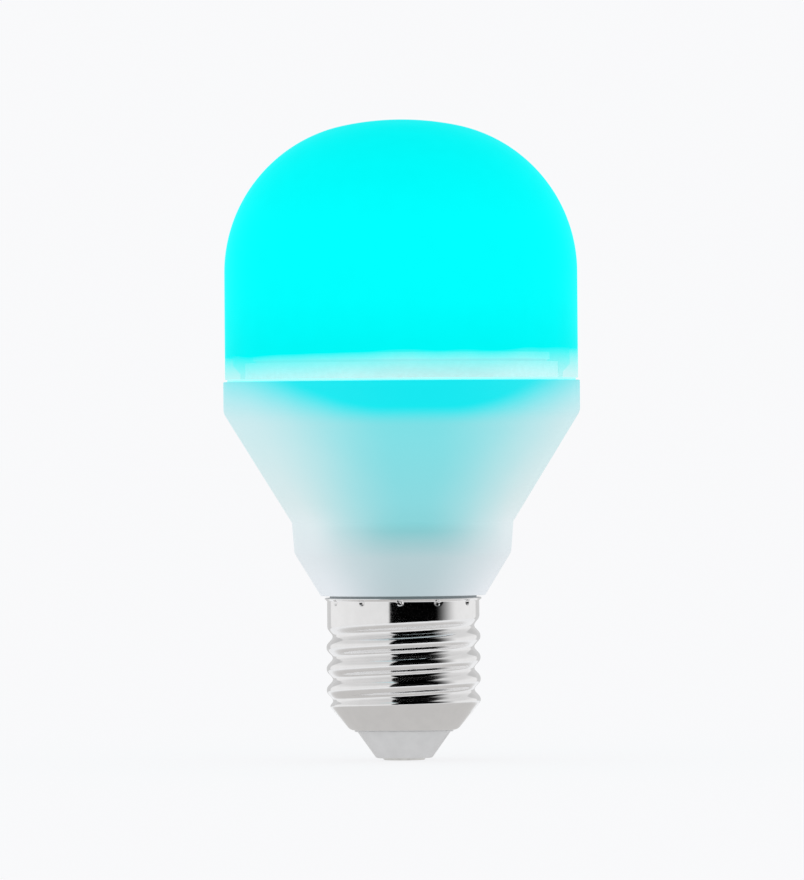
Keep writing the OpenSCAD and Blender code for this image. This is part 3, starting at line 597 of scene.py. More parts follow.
def housing_line(settings):
    """Closed outline of the housing, from its spigot up the outside and down the inside."""
    z_band_0 = Z_CAP_TOP + settings.lower_h
    z_band_1 = z_band_0 + settings.band_h
    z_collar = z_band_1 + settings.upper_h
    band_bottom_r = settings.band_r - settings.band_taper
    lean = (COLLAR_R - settings.band_r) / settings.upper_h
    cone_in = settings.wall / math.cos(math.atan(lean))
    lower_lean = (band_bottom_r - settings.neck_r) / settings.lower_h
    collar_in_r = COLLAR_R - settings.rim_wall
    z_cone_in = z_collar + (collar_in_r - COLLAR_R + cone_in) / lean
    seat_r = settings.band_r - cone_in - 0.1 * MM
    ledge_r = seat_r - settings.ledge_w
    z_floor = Z_CAP_TOP + settings.floor_t
    lower_in = settings.wall * math.sqrt(1 + lower_lean**2)
    floor_r = min(settings.neck_r + settings.floor_t * lower_lean - lower_in, ledge_r - 0.2 * MM)
    z_floor_cone = z_floor + (ledge_r - floor_r) / lower_lean
    wide_r = 12.5 * MM
    bore_r = SPIGOT_R - settings.spigot_wall
    groove_r = 11.9 * MM
    z_groove_0 = Z_SHELL_TOP - 1.55 * MM
    z_groove_1 = Z_SHELL_TOP - 0.05 * MM
    z_wide = Z_CAP_TOP - 2.7 * MM
    return filleted([
        (bore_r, Z_SPIGOT, 0.2 * MM),
        (SPIGOT_R, Z_SPIGOT, 0.3 * MM),
        (SPIGOT_R, z_wide, 0.1 * MM),
        (wide_r, z_wide, 0.1 * MM),
        (wide_r, z_groove_0),
        (groove_r, z_groove_0, 0.1 * MM),
        (groove_r, z_groove_1, 0.1 * MM),
        (wide_r, z_groove_1),
        (wide_r, Z_CAP_TOP),
        (settings.neck_r, Z_CAP_TOP, 0.25 * MM),
        (band_bottom_r, z_band_0, 1.6 * MM),
        (settings.band_r, z_band_1, 0.5 * MM),
        (COLLAR_R, z_collar, 2.2 * MM),
        (COLLAR_R, Z_RIM, 0.2 * MM),
        (collar_in_r, Z_RIM, 0.15 * MM),
        (collar_in_r, z_cone_in, 0.5 * MM),
        (seat_r, z_band_1, 0.5 * MM),
        (seat_r, Z_LEDGE),
        (ledge_r, Z_LEDGE, 0.2 * MM),
        (ledge_r, z_floor_cone, 0.5 * MM),
        (floor_r, z_floor),
        (bore_r, z_floor, 0.2 * MM),
    ])


def housing_finish(settings):
    """Satin white plastic with the light from inside painted into its colour and glow: deep under the seam,
    fading down the cones.
    """
    made = Finish("lit_housing", (0.7, 0.8, 0.82), Roughness=0.5, Specular_IOR_Level=0.15, IOR=1.3)
    made.set("Sheen Weight", 0.25)
    made.set("Sheen Roughness", 0.5)
    drop = Z_RIM / MM - made.z
    share = drop / 38.0
    # Painted light: the glow from inside is painted deepest towards the front and the back, and paler
    # towards the sides
    aside = abs((made.turn() - math.radians(5)).wrapped(math.pi)) * math.degrees(1)
    soft = made.noise(0.1, 1.0) * 8.0 - 4.0
    away = (aside + soft).eased(4.0, 66.0)
    middle = made.ramp(share, (
        (0.0, 0.16, 0.76, 0.80),
        (0.26, 0.215, 0.74, 0.78),
        (0.54, 0.25, 0.70, 0.74),
        (0.63, 0.25, 0.665, 0.70),
        (0.67, 0.25, 0.60, 0.63),
        (0.73, 0.36, 0.60, 0.63),
        (0.79, 0.47, 0.62, 0.65),
        (0.97, 0.50, 0.60, 0.63),
    ))
    sides = made.ramp(share, (
        (0.0, 0.56, 0.82, 0.86),
        (0.26, 0.58, 0.81, 0.83),
        (0.54, 0.66, 0.80, 0.81),
        (0.64, 0.72, 0.82, 0.84),
        (0.8, 0.72, 0.78, 0.81),
        (0.97, 0.77, 0.81, 0.85),
    ))
    painted_glow = blend(away, middle, sides)
    # A painted pool of pure light hangs from the seam at the front and at the back
    start = 4.2 - (aside + soft * 0.4).eased(10.0, 74.0) * 9.0
    pool = ((drop - start) / (settings.pool + 0.6 - start)).eased(1.0, 0.0)
    painted_glow = blend(pool, painted_glow, (0.0, 0.81, 0.87))
    # Painted shade: the spigot in the gap under the lower edge is painted dark, as if little light reached
    # it from inside
    painted_gap_shade = made.z.eased(Z_SHELL_TOP / MM + 0.4, Z_SHELL_TOP / MM + 0.3) * 0.6
    painted_glow = blend(painted_gap_shade, painted_glow, (0.06, 0.08, 0.08))
    grown = made.add("ShaderNodeVectorMath", {0: painted_glow, "Scale": 0.74}, operation="SCALE")
    made.set("Base Color", grown)
    made.glow(painted_glow, 0.3)
    made.rough(0.42, 0.55, 0.6)
    made.grain(6.0, 0.004)
    return made


def cut(piece, name, mesh, operation):
    """Joins a tool mesh to a piece, or cuts it out, and gives the piece that results."""
    tool = make_piece(name, mesh)
    modifier = piece.modifiers.new(name, "BOOLEAN")
    modifier.object = tool
    modifier.operation = operation
    modifier.solver = "EXACT"
    name = piece.name
    made = evaluated(piece)
    bpy.data.objects.remove(tool)
    return make_piece(name, made)


class BULB_OT_housing(bpy.types.Operator):
    """Turns the housing, with its board rails and the notch for the neutral lead"""

    bl_idname = "bulb.housing"
    bl_label = "Housing"

    def execute(self, context):
        settings = context.scene.bulb_housing
        piece = make_piece("housing_shell", turned(housing_line(settings), even_turns(180)))
        bore_r = SPIGOT_R - settings.spigot_wall
        half_notch = 0.95 * MM
        notch_h = 3.4 * MM
        notch = bmesh.new()
        block(
            notch,
            (-SPIGOT_R - 1.5 * MM, -half_notch, Z_SPIGOT - 1 * MM),
            (-bore_r / 2, half_notch, Z_SPIGOT + notch_h),
        )
        piece = cut(piece, "notch", notch, "DIFFERENCE")
        rails = bmesh.new()
        rail_t = 0.9 * MM
        play = 0.1 * MM
        reach = bore_r - 1.4 * MM
        into = bore_r + settings.spigot_wall / 2
        for side in (-1, 1):
            for face in (-1, 1):
                y = face * (BOARD_FACE + play)
                left, right = sorted((side * reach, side * into))
                front, back = sorted((y, y + face * rail_t))
                block(rails, (left, front, Z_DRIVER), (right, back, Z_CAP_TOP))
        piece = cut(piece, "rails", rails, "UNION")
        fit(piece, housing_finish(settings), "housing", "housing")
        return {"FINISHED"}


# ---------------------------------------------------------------- screw cap


def chrome_finish(settings):
    """Bright plating on drawn sheet, with faint rolling marks that follow the turn."""
    made = Finish("bright_plate", tuple(settings.plate), Metallic=1.0)
    along = made.vector(made.radius * 2.0, made.z * 6.0, made.turn() * 0.6)
    made.rough(0.05, 0.11, 1.0, at=along)
    made.mottled(0.015, 0.5)
    made.bump(made.noise(3.0, 2.0, at=along), 0.004, 0.5)
    return made


def shell_blank(settings):
    """The shell before its thread is rolled: a turned cup with rows enough for the thread and the dents."""
    thread_rows = 98
    row_h = 0.18 * MM
    rim_rows = 18
    corner_round = 1.4 * MM
    lip_round = 0.15 * MM
    z_thread = Z_SHELL + settings.end_h
    z_rim = z_thread + thread_rows * row_h
    z_lip = Z_SHELL_TOP - 0.55 * MM
    corner_r = settings.hole_r + SHELL_CORNER
    top_r = corner_r + settings.end_h / math.tan(settings.end_tilt)

    def face(inset):
        corner = (corner_r - inset * math.tan(settings.end_tilt / 2), Z_SHELL + inset, corner_round - inset)
        end = filleted([(settings.hole_r, Z_SHELL + inset), corner, (top_r - inset, z_thread)])
        rim = settings.rim_r - inset
        thread = [(rim, z_thread + i * row_h) for i in range(thread_rows + 1)]
        upper = [(rim, z_rim + (z_lip - z_rim) * i / rim_rows) for i in range(1, rim_rows + 1)]
        return end[:-1] + thread + upper

    lip_r = settings.rim_r + settings.lip - lip_round
    lip = arc(lip_r, Z_SHELL_TOP - lip_round, lip_round, -math.pi / 2, math.pi / 2, 6)
    return face(0) + lip + [(settings.rim_r - settings.sheet, Z_SHELL_TOP)] + face(settings.sheet)[::-1]


def shell_turns(settings, sides_per_crimp=20, crowding=0.62):
    """Angles round the shell, closer together at the crimp dents."""
    sector = 2 * math.pi / settings.crimps
    shift = crowding * sector / (2 * math.pi)
    return [
        settings.crimp_turn + t - shift * math.sin(2 * math.pi * t / sector)
        for t in even_turns(sides_per_crimp * settings.crimps)
    ]


def thread_rule(settings):
    """Tree that rolls the thread into a turned blank and punches the crimp dents."""
    crimp_drop = 0.8 * MM
    corner_w = 0.5 * MM
    run_out_from = math.radians(165)
    run_out_span = math.radians(80)
    rule = Rule(
        "thread_and_dents",
        Crest=settings.crest_r,
        Root=settings.crest_r - settings.thread_depth,
        Rim=settings.rim_r,
        Pitch=settings.pitch,
        Groove=settings.groove,
        Run_in=Z_SHELL_TOP - settings.rim_h,
        Thread_start=Z_SHELL + settings.end_h,
        End_radius=settings.hole_r + SHELL_CORNER + settings.end_h / math.tan(settings.end_tilt),
        End_slope=math.tan(settings.end_tilt),
        Crimps=settings.crimps,
        Crimp_turn=settings.crimp_turn,
        Crimp_height=Z_SHELL_TOP - crimp_drop,
        Crimp_radius=settings.crimp_r,
        Crimp_depth=settings.crimp_depth,
    )
    size = rule.inputs
    radius = hypot(rule.x, rule.y)
    turn = rule.turn()
    phase = (rule.z - size["Run_in"]) / size["Pitch"] * (2 * math.pi) - turn
    top = (phase > -math.pi).pick(size["Rim"], size["Crest"])
    sunk = (0.5 - phase.math("COSINE") * 0.5) ** size["Groove"]
    wave = top - (top - size["Root"]) * sunk
    run_out = (turn * -1.0 + run_out_from).eased(0.0, run_out_span)
    depth = (phase > -2 * math.pi).pick(run_out, 1.0)
    rolled = size["Rim"] + (wave - size["Rim"]) * depth
    thread = (phase > 0.0).pick(size["Rim"], rolled)
    slope = size["End_radius"] + (rule.z - size["Thread_start"]) / size["End_slope"]
    corner = (corner_w - abs(thread - slope)).math("MAXIMUM", 0.0)
    shaped = thread.math("MINIMUM", slope) - corner * corner / (4 * corner_w)
    is_thread = rule.z > (size["Thread_start"] - 0.01 * MM)
    offset = (shaped - size["Rim"]) * is_thread
    sector = (size["Crimps"] ** -1.0) * (2 * math.pi)
    side = rule.y.math("ARCTAN2", rule.x) - size["Crimp_turn"]
    across = (side / sector - (side / sector).math("ROUND")) * sector * size["Rim"]
    off_dent = hypot(across, rule.z - size["Crimp_height"]) / size["Crimp_radius"]
    dent = off_dent.eased(1.0, 0.25) * size["Crimp_depth"]
    grown = (radius + offset - dent) / radius
    place = rule.vector(rule.x * grown, rule.y * grown, rule.z)
    return rule, rule.add("GeometryNodeSetPosition", {"Geometry": rule.geometry, "Position": place})


class BULB_OT_shell(bpy.types.Operator):
    """Rolls the threaded screw shell out of thin sheet and crimps it"""

    bl_idname = "bulb.shell"
    bl_label = "Screw shell"

    def execute(self, context):
        settings = context.scene.bulb_cap
        finish = chrome_finish(settings)
        blank = make_piece("blank", turned(shell_blank(settings), shell_turns(settings)))
        rule, geometry = thread_rule(settings)
        piece = rule.grow("rolled_shell", blank, geometry, finish, sharp=60)
        fit(piece, finish, "plated_shell", "screw_shell")
        return {"FINISHED"}


class BULB_OT_cap_end(bpy.types.Operator):
    """Moulds the insulator and turns the end contact"""

    bl_idname = "bulb.cap_end"
    bl_label = "Insulator and contact"

    def execute(self, context):
        settings = context.scene.bulb_cap
        made = Finish("moulded_insulator", (0.62, 0.62, 0.62), Roughness=0.4)
        made.mottled(0.03, 0.4)
        made.rough(0.32, 0.5, 0.8)
        made.grain(5.0, 0.006)
        proud = low("cap_insulator", "z")
        step_r = settings.hole_r - 0.5 * MM
        z_step = Z_SHELL - 0.25 * MM
        z_lock = Z_SHELL + settings.sheet + 0.7 * MM
        inner_r = settings.hole_r + 0.8 * MM
        wall_r = settings.hole_r - 0.05 * MM
        nose_r = 4.75 * MM
        bore = 1.25 * MM
        recess_r = 3.65 * MM
        contact_t = 0.8 * MM
        outline = filleted([
            (bore, contact_t),
            (recess_r, contact_t),
            (recess_r, proud, 0.08 * MM),
            (nose_r, proud, 0.6 * MM),
            (step_r, z_step, 0.1 * MM),
            (wall_r, z_step, 0.1 * MM),
            (wall_r, z_lock - 0.3 * MM),
            (inner_r, z_lock, 0.2 * MM),
            (inner_r, Z_INNER, 0.3 * MM),
            (bore, Z_INNER, 0.15 * MM),
        ])
        piece = make_piece("insulating_ring", turned(outline, even_turns(180)))
        fit(piece, made, "insulator", "cap_insulator")

        made = Finish("nickel_contact", (0.6, 0.59, 0.57), Metallic=1.0)
        made.rough(0.14, 0.26, 1.5)
        made.mottled(0.08, 0.9)
        made.grain(2.0, 0.02)
        head_r = high("end_contact", "x")
        stem_r = 1.2 * MM
        hole_r = 0.35 * MM
        hole_deep = 2 * MM
        outline = filleted([
            (0, 0.12 * MM),
            (0.9 * MM, 0.1 * MM, 0.8 * MM),
            (1.8 * MM, 0.0, 0.6 * MM),
            (head_r, 0.0, 0.25 * MM),
            (head_r, contact_t, 0.05 * MM),
            (stem_r, contact_t, 0.1 * MM),
            (stem_r, Z_STEM, 0.1 * MM),
            (hole_r, Z_STEM, 0.05 * MM),
            (hole_r, Z_STEM - hole_deep),
            (0, Z_STEM - hole_deep),
        ])
        piece = make_piece("contact_stud", turned(outline, even_turns(96)))
        fit(piece, made, "contact", "end_contact")
        return {"FINISHED"}


# ---------------------------------------------------------------- pieces inside


def smooth_line(points, steps=8):
    """Points on a smooth curve through the given ones."""
    points = [Vector(point) * MM for point in points]
    ends = [2 * points[0] - points[1], *points, 2 * points[-1] - points[-2]]
    line = []
    for i in range(1, len(ends) - 2):
        a, b, c, d = ends[i - 1:i + 3]
        bend = 2 * a - 5 * b + 4 * c - d
        twist = 3 * b - a - 3 * c + d
        for k in range(steps):
            t = k / steps
            line.append((2 * b + (c - a) * t + bend * t**2 + twist * t**3) / 2)
    return [*line, points[-1]]


def tube(mesh, line, radius, sides=16, twist=0.0, offset=0.0, start=0.0):
    """Adds a round bar along a line. An offset and a twist wind it round that line like a strand."""
    side = (line[1] - line[0]).orthogonal().normalized()
    rings = []
    for i, point in enumerate(line):
        along = (line[min(i + 1, len(line) - 1)] - line[max(i - 1, 0)]).normalized()
        side = (side - along * side.dot(along)).normalized()
        up = along.cross(side)
        around = start + twist * i
        middle = point + (side * math.cos(around) + up * math.sin(around)) * offset
        rings.append([
            mesh.verts.new(middle + (side * math.cos(t) + up * math.sin(t)) * radius)
            for t in even_turns(sides)
        ])
    for ring, after in zip(rings, rings[1:]):
        for k in range(sides):
            mesh.faces.new((ring[k], ring[k - 1], after[k - 1], after[k]))
    mesh.faces.new(rings[0])
    mesh.faces.new(rings[-1][::-1])


class BULB_OT_leads(bpy.types.Operator):
    """Runs the two leads from the cap to the driver board, with their stripped and tinned ends"""

    bl_idname = "bulb.leads"
    bl_label = "Leads"

    def execute(self, context):
        rise = Z_DRIVER / MM
        lead_x = LEAD_X / MM
        lead_y = BOARD_FACE / MM + 0.7
        live = [
            (0, 0, rise - 2), (0, 0, rise - 1.8), (1.2, 0.8, rise - 1.1),
            (0.7 * lead_x, lead_y, rise - 0.3),
            (lead_x, lead_y, rise + 0.9), (lead_x, lead_y, rise + 2.4),
        ]
        neutral = [
            (-lead_x, lead_y, rise + 2.4), (-lead_x, lead_y, rise - 0.2), (-6.5, 1.04, rise - 3),
            (-8.2, 0.39, rise - 7.4), (-9.4, 0, rise - 9), (-10.5, 0, rise - 9.1), (-11, 0, rise - 8.4),
            (-11, 0, rise - 7),
        ]
        for name, points, shade in (
            ("live_lead", live, (0.16, 0.06, 0.025)),
            ("neutral_lead", neutral, (0.03, 0.12, 0.5)),
        ):
            line = smooth_line(points)
            made = Finish(name + "_sheath", shade, Roughness=0.4)
            made.mottled(0.1, 1.5)
            made.rough(0.32, 0.5, 2.0)
            made.grain(8.0, 0.006)
            sheath = bmesh.new()
            tube(sheath, line[3:-5], 0.65 * MM, 24)
            fit(make_piece(name + "_sheath", sheath), made, name, name)
            strands = bmesh.new()
            tube(strands, line, 0.2 * MM, 10)
            for k in range(6):
                tube(strands, line, 0.17 * MM, 8, 0.3, 0.34 * MM, k * math.pi / 3)
            tin = Finish(name + "_strands", (0.75, 0.74, 0.72), Metallic=1.0)
            tin.rough(0.25, 0.45, 2.0)
            tin.grain(4.0, 0.01)
            fit(make_piece(name + "_strands", strands), tin, "copper")
        return {"FINISHED"}


def seed_object(points=((0, 0, 0),)):
    """An object whose loose points a rule starts from."""
    mesh = bpy.data.meshes.new("seed")
    mesh.from_pydata([tuple(point) for point in points], [], [])
    seed = bpy.data.objects.new("seed", mesh)
    bpy.context.scene.collection.objects.link(seed)
    return seed


def spiral(rule, rotations, radius, height, wire, reverse=False, resolution=28):
    """A coiled wire round Z, as a mesh."""
    coil = rule.add("GeometryNodeCurveSpiral", {
        "Resolution": resolution, "Rotations": rotations, "Start Radius": radius,
        "End Radius": radius, "Height": height, "Reverse": reverse,
    })
    section = rule.add("GeometryNodeCurvePrimitiveCircle", {"Resolution": 8, "Radius": wire})
    return rule.add("GeometryNodeCurveToMesh", {"Curve": coil, "Profile Curve": section, "Fill Caps": True})


def joined(rule, parts):
    node = rule.tree.nodes.new("GeometryNodeJoinGeometry")
    for part in parts:
        rule.tree.links.new(part.socket, node.inputs[0])
    return Field(rule.tree, node.outputs[0])


class BULB_OT_windings(bpy.types.Operator):
    """Winds the choke and the transformer, and braids the resistor's sleeve"""

    bl_idname = "bulb.windings"
    bl_label = "Windings"

    def execute(self, context):
        self.choke()
        self.transformer()
        self.braid()
        return {"FINISHED"}

    def choke(self):
        made = Finish("enamelled_copper", (0.62, 0.2, 0.06), Metallic=0.9)
        made.rough(0.18, 0.3, 1.0)
        made.mottled(0.12, 0.8)
        made.grain(3.0, 0.008)
        lo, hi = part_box("filter_choke_core")
        middle = (lo + hi) / 2
        rule = Rule(
            "choke_coil", Turns=11.0, Inner=1.25 * MM, Outer=2.15 * MM, Wire=0.15 * MM, Length=3.3 * MM
        )
        size = rule.inputs
        layers = []
        for share in (0.0, 0.34, 0.67, 1.0):
            radius = size["Inner"] + (size["Outer"] - size["Inner"]) * share
            layers.append(spiral(rule, size["Turns"], radius, size["Length"], size["Wire"]))
        placed = rule.add("GeometryNodeTransform", {
            "Geometry": joined(rule, layers), "Translation": (middle.x, hi.y - 0.9 * MM, middle.z),
            "Rotation": (math.pi / 2, 0, 0),
        })
        coil = rule.grow("choke_coil", seed_object(), placed, made)
        fit(coil, made, "copper", "filter_choke_winding")
        ends = bmesh.new()
        y_board = high("filter_choke_winding", "y") / MM
        y_core = lo.y / MM
        z = middle.z / MM
        for side in (-1, 1):
            x = side * PIN_X / MM
            bend = [
                (x, y_board - 0.1, z), (x, y_core + 1.4, z),
                (x * 0.85, y_core + 0.9, z), (side * 2.1, y_core + 0.9, z + 0.3),
            ]
            tube(ends, smooth_line(bend), 0.22 * MM, 12)
        fit(make_piece("choke_ends", ends), made, "copper")

    def transformer(self):
        made = Finish("winding_tape", (0.72, 0.5, 0.08), Roughness=0.3)
        made.mottled(0.08, 0.5)
        made.rough(0.25, 0.4, 0.8)
        made.bump((made.z * 7.4).math("SINE") * 0.5 + made.noise(1.0) * 0.6, 0.05)
        lo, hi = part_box("transformer_winding")
        middle = (lo + hi) / 2
        rule = Rule("tape_turns", Turns=9, Width=hi.x - lo.x, Depth=hi.y - lo.y, Height=hi.z - lo.z)
        size = rule.inputs
        half = (hi.z - lo.z) / 18 * 0.98
        loop = rule.add("GeometryNodeCurvePrimitiveQuadrilateral", {
            0: size["Width"] - 2 * half, 1: size["Depth"] - 2 * half,
        })
        round_loop = rule.add("GeometryNodeFilletCurve", {
            "Curve": loop, "Radius": 0.9 * MM, "Count": 6,
        }, mode="POLY")
        section = rule.add("GeometryNodeCurvePrimitiveCircle", {"Resolution": 12, "Radius": half})
        turn = rule.add("GeometryNodeCurveToMesh", {"Curve": round_loop, "Profile Curve": section})
        line = rule.add("GeometryNodeMeshLine", {
            "Count": size["Turns"], "Start Location": (middle.x, middle.y, lo.z + half),
            "Offset": (0, 0, half * 2.0),
        })
        stack = rule.add("GeometryNodeInstanceOnPoints", {"Points": line, "Instance": turn})
        body = rule.add("GeometryNodeMeshCube", {
            "Size": (hi.x - lo.x - 2.4 * half, hi.y - lo.y - 2.4 * half, hi.z - lo.z - half),
        })
        inner = rule.add("GeometryNodeTransform", {"Geometry": body, "Translation": tuple(middle)})
        piece = rule.grow("tape_turns", seed_object(), joined(rule, [stack, inner]), made)
        fit(piece, made, "winding_tape")

    def braid(self):
        made = Finish("glass_braid", (0.86, 0.84, 0.76), Roughness=0.75)
        made.mottled(0.08, 1.5)
        made.rough(0.65, 0.85, 2.0)
        made.grain(10.0, 0.02)
        lo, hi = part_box("resistor_sleeve")
        margin = 0.15 * MM
        height = hi.z - lo.z - 2 * margin
        rule = Rule("braid", Strands=10, Radius=1.5 * MM, Yarn=0.14 * MM, Rotations=1.4, Height=height)
        size = rule.inputs
        parts = []
        for reverse in (False, True):
            yarn = spiral(
                rule, size["Rotations"], size["Radius"], size["Height"], size["Yarn"], reverse, resolution=40
            )
            ring = rule.add("GeometryNodeMeshCircle", {"Vertices": size["Strands"], "Radius": 0.001 * MM})
            order = rule.add("GeometryNodeInputIndex")
            turn = rule.vector(0.0, 0.0, order * (2 * math.pi) / size["Strands"])
            spread = {"Points": ring, "Instance": yarn, "Rotation": turn}
            parts.append(rule.add("GeometryNodeInstanceOnPoints", spread))
        placed = rule.add("GeometryNodeTransform", {
            "Geometry": joined(rule, parts), "Translation": (0, 0, lo.z + margin),
        })
        fit(rule.grow("sleeve_braid", seed_object(), placed, made), made, "sleeve")


def islands(node):
    """Boxes of the separate solids of a node."""
    mesh = bmesh.new()
    mesh.from_mesh(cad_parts[node].data)
    bmesh.ops.remove_doubles(mesh, verts=mesh.verts, dist=0.001 * MM)
    left = set(mesh.verts)
    boxes = []
    while left:
        found = {left.pop()}
        edge = set(found)
        while edge:
            edge = {e.other_vert(v) for v in edge for e in v.link_edges} - found
            found |= edge
        left -= found
        spots = [v.co for v in found]
        boxes.append([[pick(spot[k] for spot in spots) for k in range(3)] for pick in (min, max)])
    mesh.free()
    return sorted(boxes)


class BULB_OT_details(bpy.types.Operator):
    """Pours the emitters' phosphor, and solders the driver board"""

    bl_idname = "bulb.details"
    bl_label = "Phosphor and solder"

    def execute(self, context):
        for node, slot, shade in (
            ("cool_white_emitters", "cool_emitters", (0.9, 0.85, 0.3)),
            ("warm_white_emitters", "warm_emitters", (0.9, 0.6, 0.15)),
            ("colour_emitters", "colour_emitters", (0.3, 0.9, 0.92)),
        ):
            made = Finish(node + "_pool", shade, Roughness=0.2)
            made.glow(shade, 0.4)
            made.mottled(0.06, 2.0)
            made.grain(5.0, 0.01)
            boxes = islands(node)
            wide = min(hi[k] - lo[k] for lo, hi in boxes for k in (0, 1))
            spots = [((lo[0] + hi[0]) / 2, (lo[1] + hi[1]) / 2, hi[2]) for lo, hi in boxes]
            rule = Rule(node + "_pools", Radius=wide * 0.36)
            blob = rule.add("GeometryNodeMeshUVSphere", {
                "Segments": 20, "Rings": 10, "Radius": rule.inputs["Radius"],
            })
            flat = rule.add("GeometryNodeTransform", {"Geometry": blob, "Scale": (1, 1, 0.22)})
            pools = rule.add("GeometryNodeInstanceOnPoints", {"Points": rule.geometry, "Instance": flat})
            fit(rule.grow(node + "_pools", seed_object(spots), pools, made), made, slot)
        tin = Finish("solder", (0.78, 0.78, 0.77), Metallic=1.0)
        tin.rough(0.15, 0.35, 2.0)
        tin.grain(2.0, 0.02)
        spots = []
        for node in ("filter_choke_core", "surge_varistor", "film_capacitor"):
            lo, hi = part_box(node)
            spots += [(side * PIN_X, BOARD_FACE, (lo.z + hi.z) / 2) for side in (-1, 1)]
        spots += [(side * LEAD_X, BOARD_FACE, Z_DRIVER + 2.3 * MM) for side in (-1, 1)]
        rule = Rule("solder_joints", Radius=0.75 * MM, Height=0.6 * MM)
        cone = rule.add("GeometryNodeMeshCone", {
            "Vertices": 20, "Side Segments": 5, "Radius Top": rule.inputs["Radius"] * 0.3,
            "Radius Bottom": rule.inputs["Radius"], "Depth": rule.inputs["Height"],
        })
        facing = rule.add("GeometryNodeTransform", {"Geometry": cone, "Rotation": (-math.pi / 2, 0, 0)})
        joints = rule.add("GeometryNodeInstanceOnPoints", {"Points": rule.geometry, "Instance": facing})
        fit(rule.grow("solder_joints", seed_object(spots), joints, tin, sharp=60), tin, "pins")
        return {"FINISHED"}


# Finish, nodes, colour, least and most roughness, metallic, pattern and its scale
PLAIN = (
    ("white_mask", ("light_board",), (0.88, 0.9, 0.88), 0.25, 0.4, 0, "weave", 1.6),
    ("moulded_sheet", ("insulating_liner",), (0.83, 0.82, 0.78), 0.4, 0.6, 0, "grain", 0.6),
    ("gap_pad", ("thermal_pad",), (0.42, 0.5, 0.58), 0.6, 0.85, 0, "grain", 1.6),
    ("drawn_aluminium", ("heat_sink",), (0.8, 0.81, 0.82), 0.28, 0.48, 0.9, "turned", 2.0),
    ("emitter_package", ("cool_white_emitters", "warm_white_emitters", "colour_emitters"),
     (0.86, 0.86, 0.82), 0.25, 0.4, 0, "grain", 2.0),
    ("moulded_chip", ("current_regulator", "bridge_rectifier", "switching_controller", "output_diode",
                      "chip_resistors"), (0.025, 0.025, 0.028), 0.4, 0.6, 0, "speckle", 5.0),
    ("plated_screw", ("light_board_screws",), (0.6, 0.6, 0.58), 0.25, 0.4, 1, "turned", 3.0),
    ("green_mask", ("driver_board", "radio_board"), (0.02, 0.19, 0.08), 0.25, 0.4, 0, "weave", 1.3),
    ("coated_disc", ("surge_varistor",), (0.03, 0.12, 0.36), 0.3, 0.5, 0, "grain", 1.2),
    ("ferrite", ("filter_choke_core", "transformer_core"),
     (0.07, 0.068, 0.066), 0.45, 0.7, 0, "speckle", 3.0),
    ("antenna_trace", ("radio_aerial",), (0.75, 0.42, 0.22), 0.25, 0.4, 1, "turned", 2.0),
    ("film_case", ("film_capacitor",), (0.6, 0.06, 0.03), 0.25, 0.4, 0, "grain", 0.8),
    ("shrunk_sleeve", ("mains_capacitor",), (0.03, 0.035, 0.06), 0.25, 0.4, 0, "can", 1.0),
    ("dark_sleeve", ("output_capacitor",), (0.06, 0.035, 0.03), 0.25, 0.4, 0, "can", 1.0),
    ("moulded_bobbin", ("transformer_bobbin", "header_block"),
     (0.03, 0.03, 0.032), 0.35, 0.55, 0, "grain", 1.5),
    ("winding", ("transformer_winding",), (0.7, 0.48, 0.08), 0.25, 0.4, 0, "turned", 2.0),
    ("chip_ceramic", ("chip_capacitors",), (0.55, 0.42, 0.28), 0.3, 0.5, 0, "speckle", 4.0),
    ("tinned_shield", ("radio_shield",), (0.72, 0.72, 0.7), 0.22, 0.38, 1, "brushed", 1.0),
    ("gilt_pin", ("header_pins",), (0.85, 0.65, 0.3), 0.15, 0.3, 1, "brushed", 2.0),
    ("resistor_body", ("fusible_resistor",), (0.3, 0.42, 0.55), 0.4, 0.55, 0, "bands", 1.0),
    ("sleeve_core", ("resistor_sleeve",), (0.8, 0.78, 0.7), 0.6, 0.8, 0, "weave", 3.0),
)


def patterned(name, shade, least, most, metallic, pattern, scale):
    """A finish with one of the inside patterns."""
    made = Finish(name, shade, Metallic=metallic)
    made.mottled(0.08, scale * 0.5)
    made.rough(least, most, scale)
    if pattern == "weave":
        cloth = (made.x * scale * 6).math("SINE") * (made.z * scale * 6 + made.y * scale * 6).math("SINE")
        made.bump(cloth * 0.5 + made.noise(scale) * 0.5, 0.012)
    elif pattern == "turned":
        rings = made.vector(made.radius * scale * 2, made.z * scale * 2, made.turn() * 0.5)
        made.bump(made.noise(2.0, 3.0, at=rings), 0.012)
    elif pattern == "brushed":
        lines = made.vector(made.x * 0.3, made.y * 4, made.z * 4)
        made.bump(made.noise(scale * 2, 3.0, at=lines), 0.01)
    elif pattern == "speckle":
        specks = made.noise(scale * 2, 6.0).eased(0.6, 0.7)
        made.set("Base Color", blend(specks * 0.35, shade, (0.4, 0.4, 0.4)))
        made.grain(scale * 2, 0.015)
    elif pattern == "can":
        rise = made.z.eased(48.0, 53.5)
        stripe = (made.x * 2.2 + made.noise(0.3) * 0.3).math("SINE").eased(0.75, 0.85)
        made.set("Base Color", blend(stripe * (rise * 0.4 + 0.4), shade, (0.5, 0.55, 0.6)))
        made.grain(2.0, 0.01)
    elif pattern == "bands":
        bands = (made.z * 5.2).math("SINE").eased(0.7, 0.75)
        made.set("Base Color", blend(bands, shade, (0.25, 0.1, 0.03)))
        made.grain(3.0, 0.02)
    else:
        made.grain(scale * 4, 0.015)
    return made


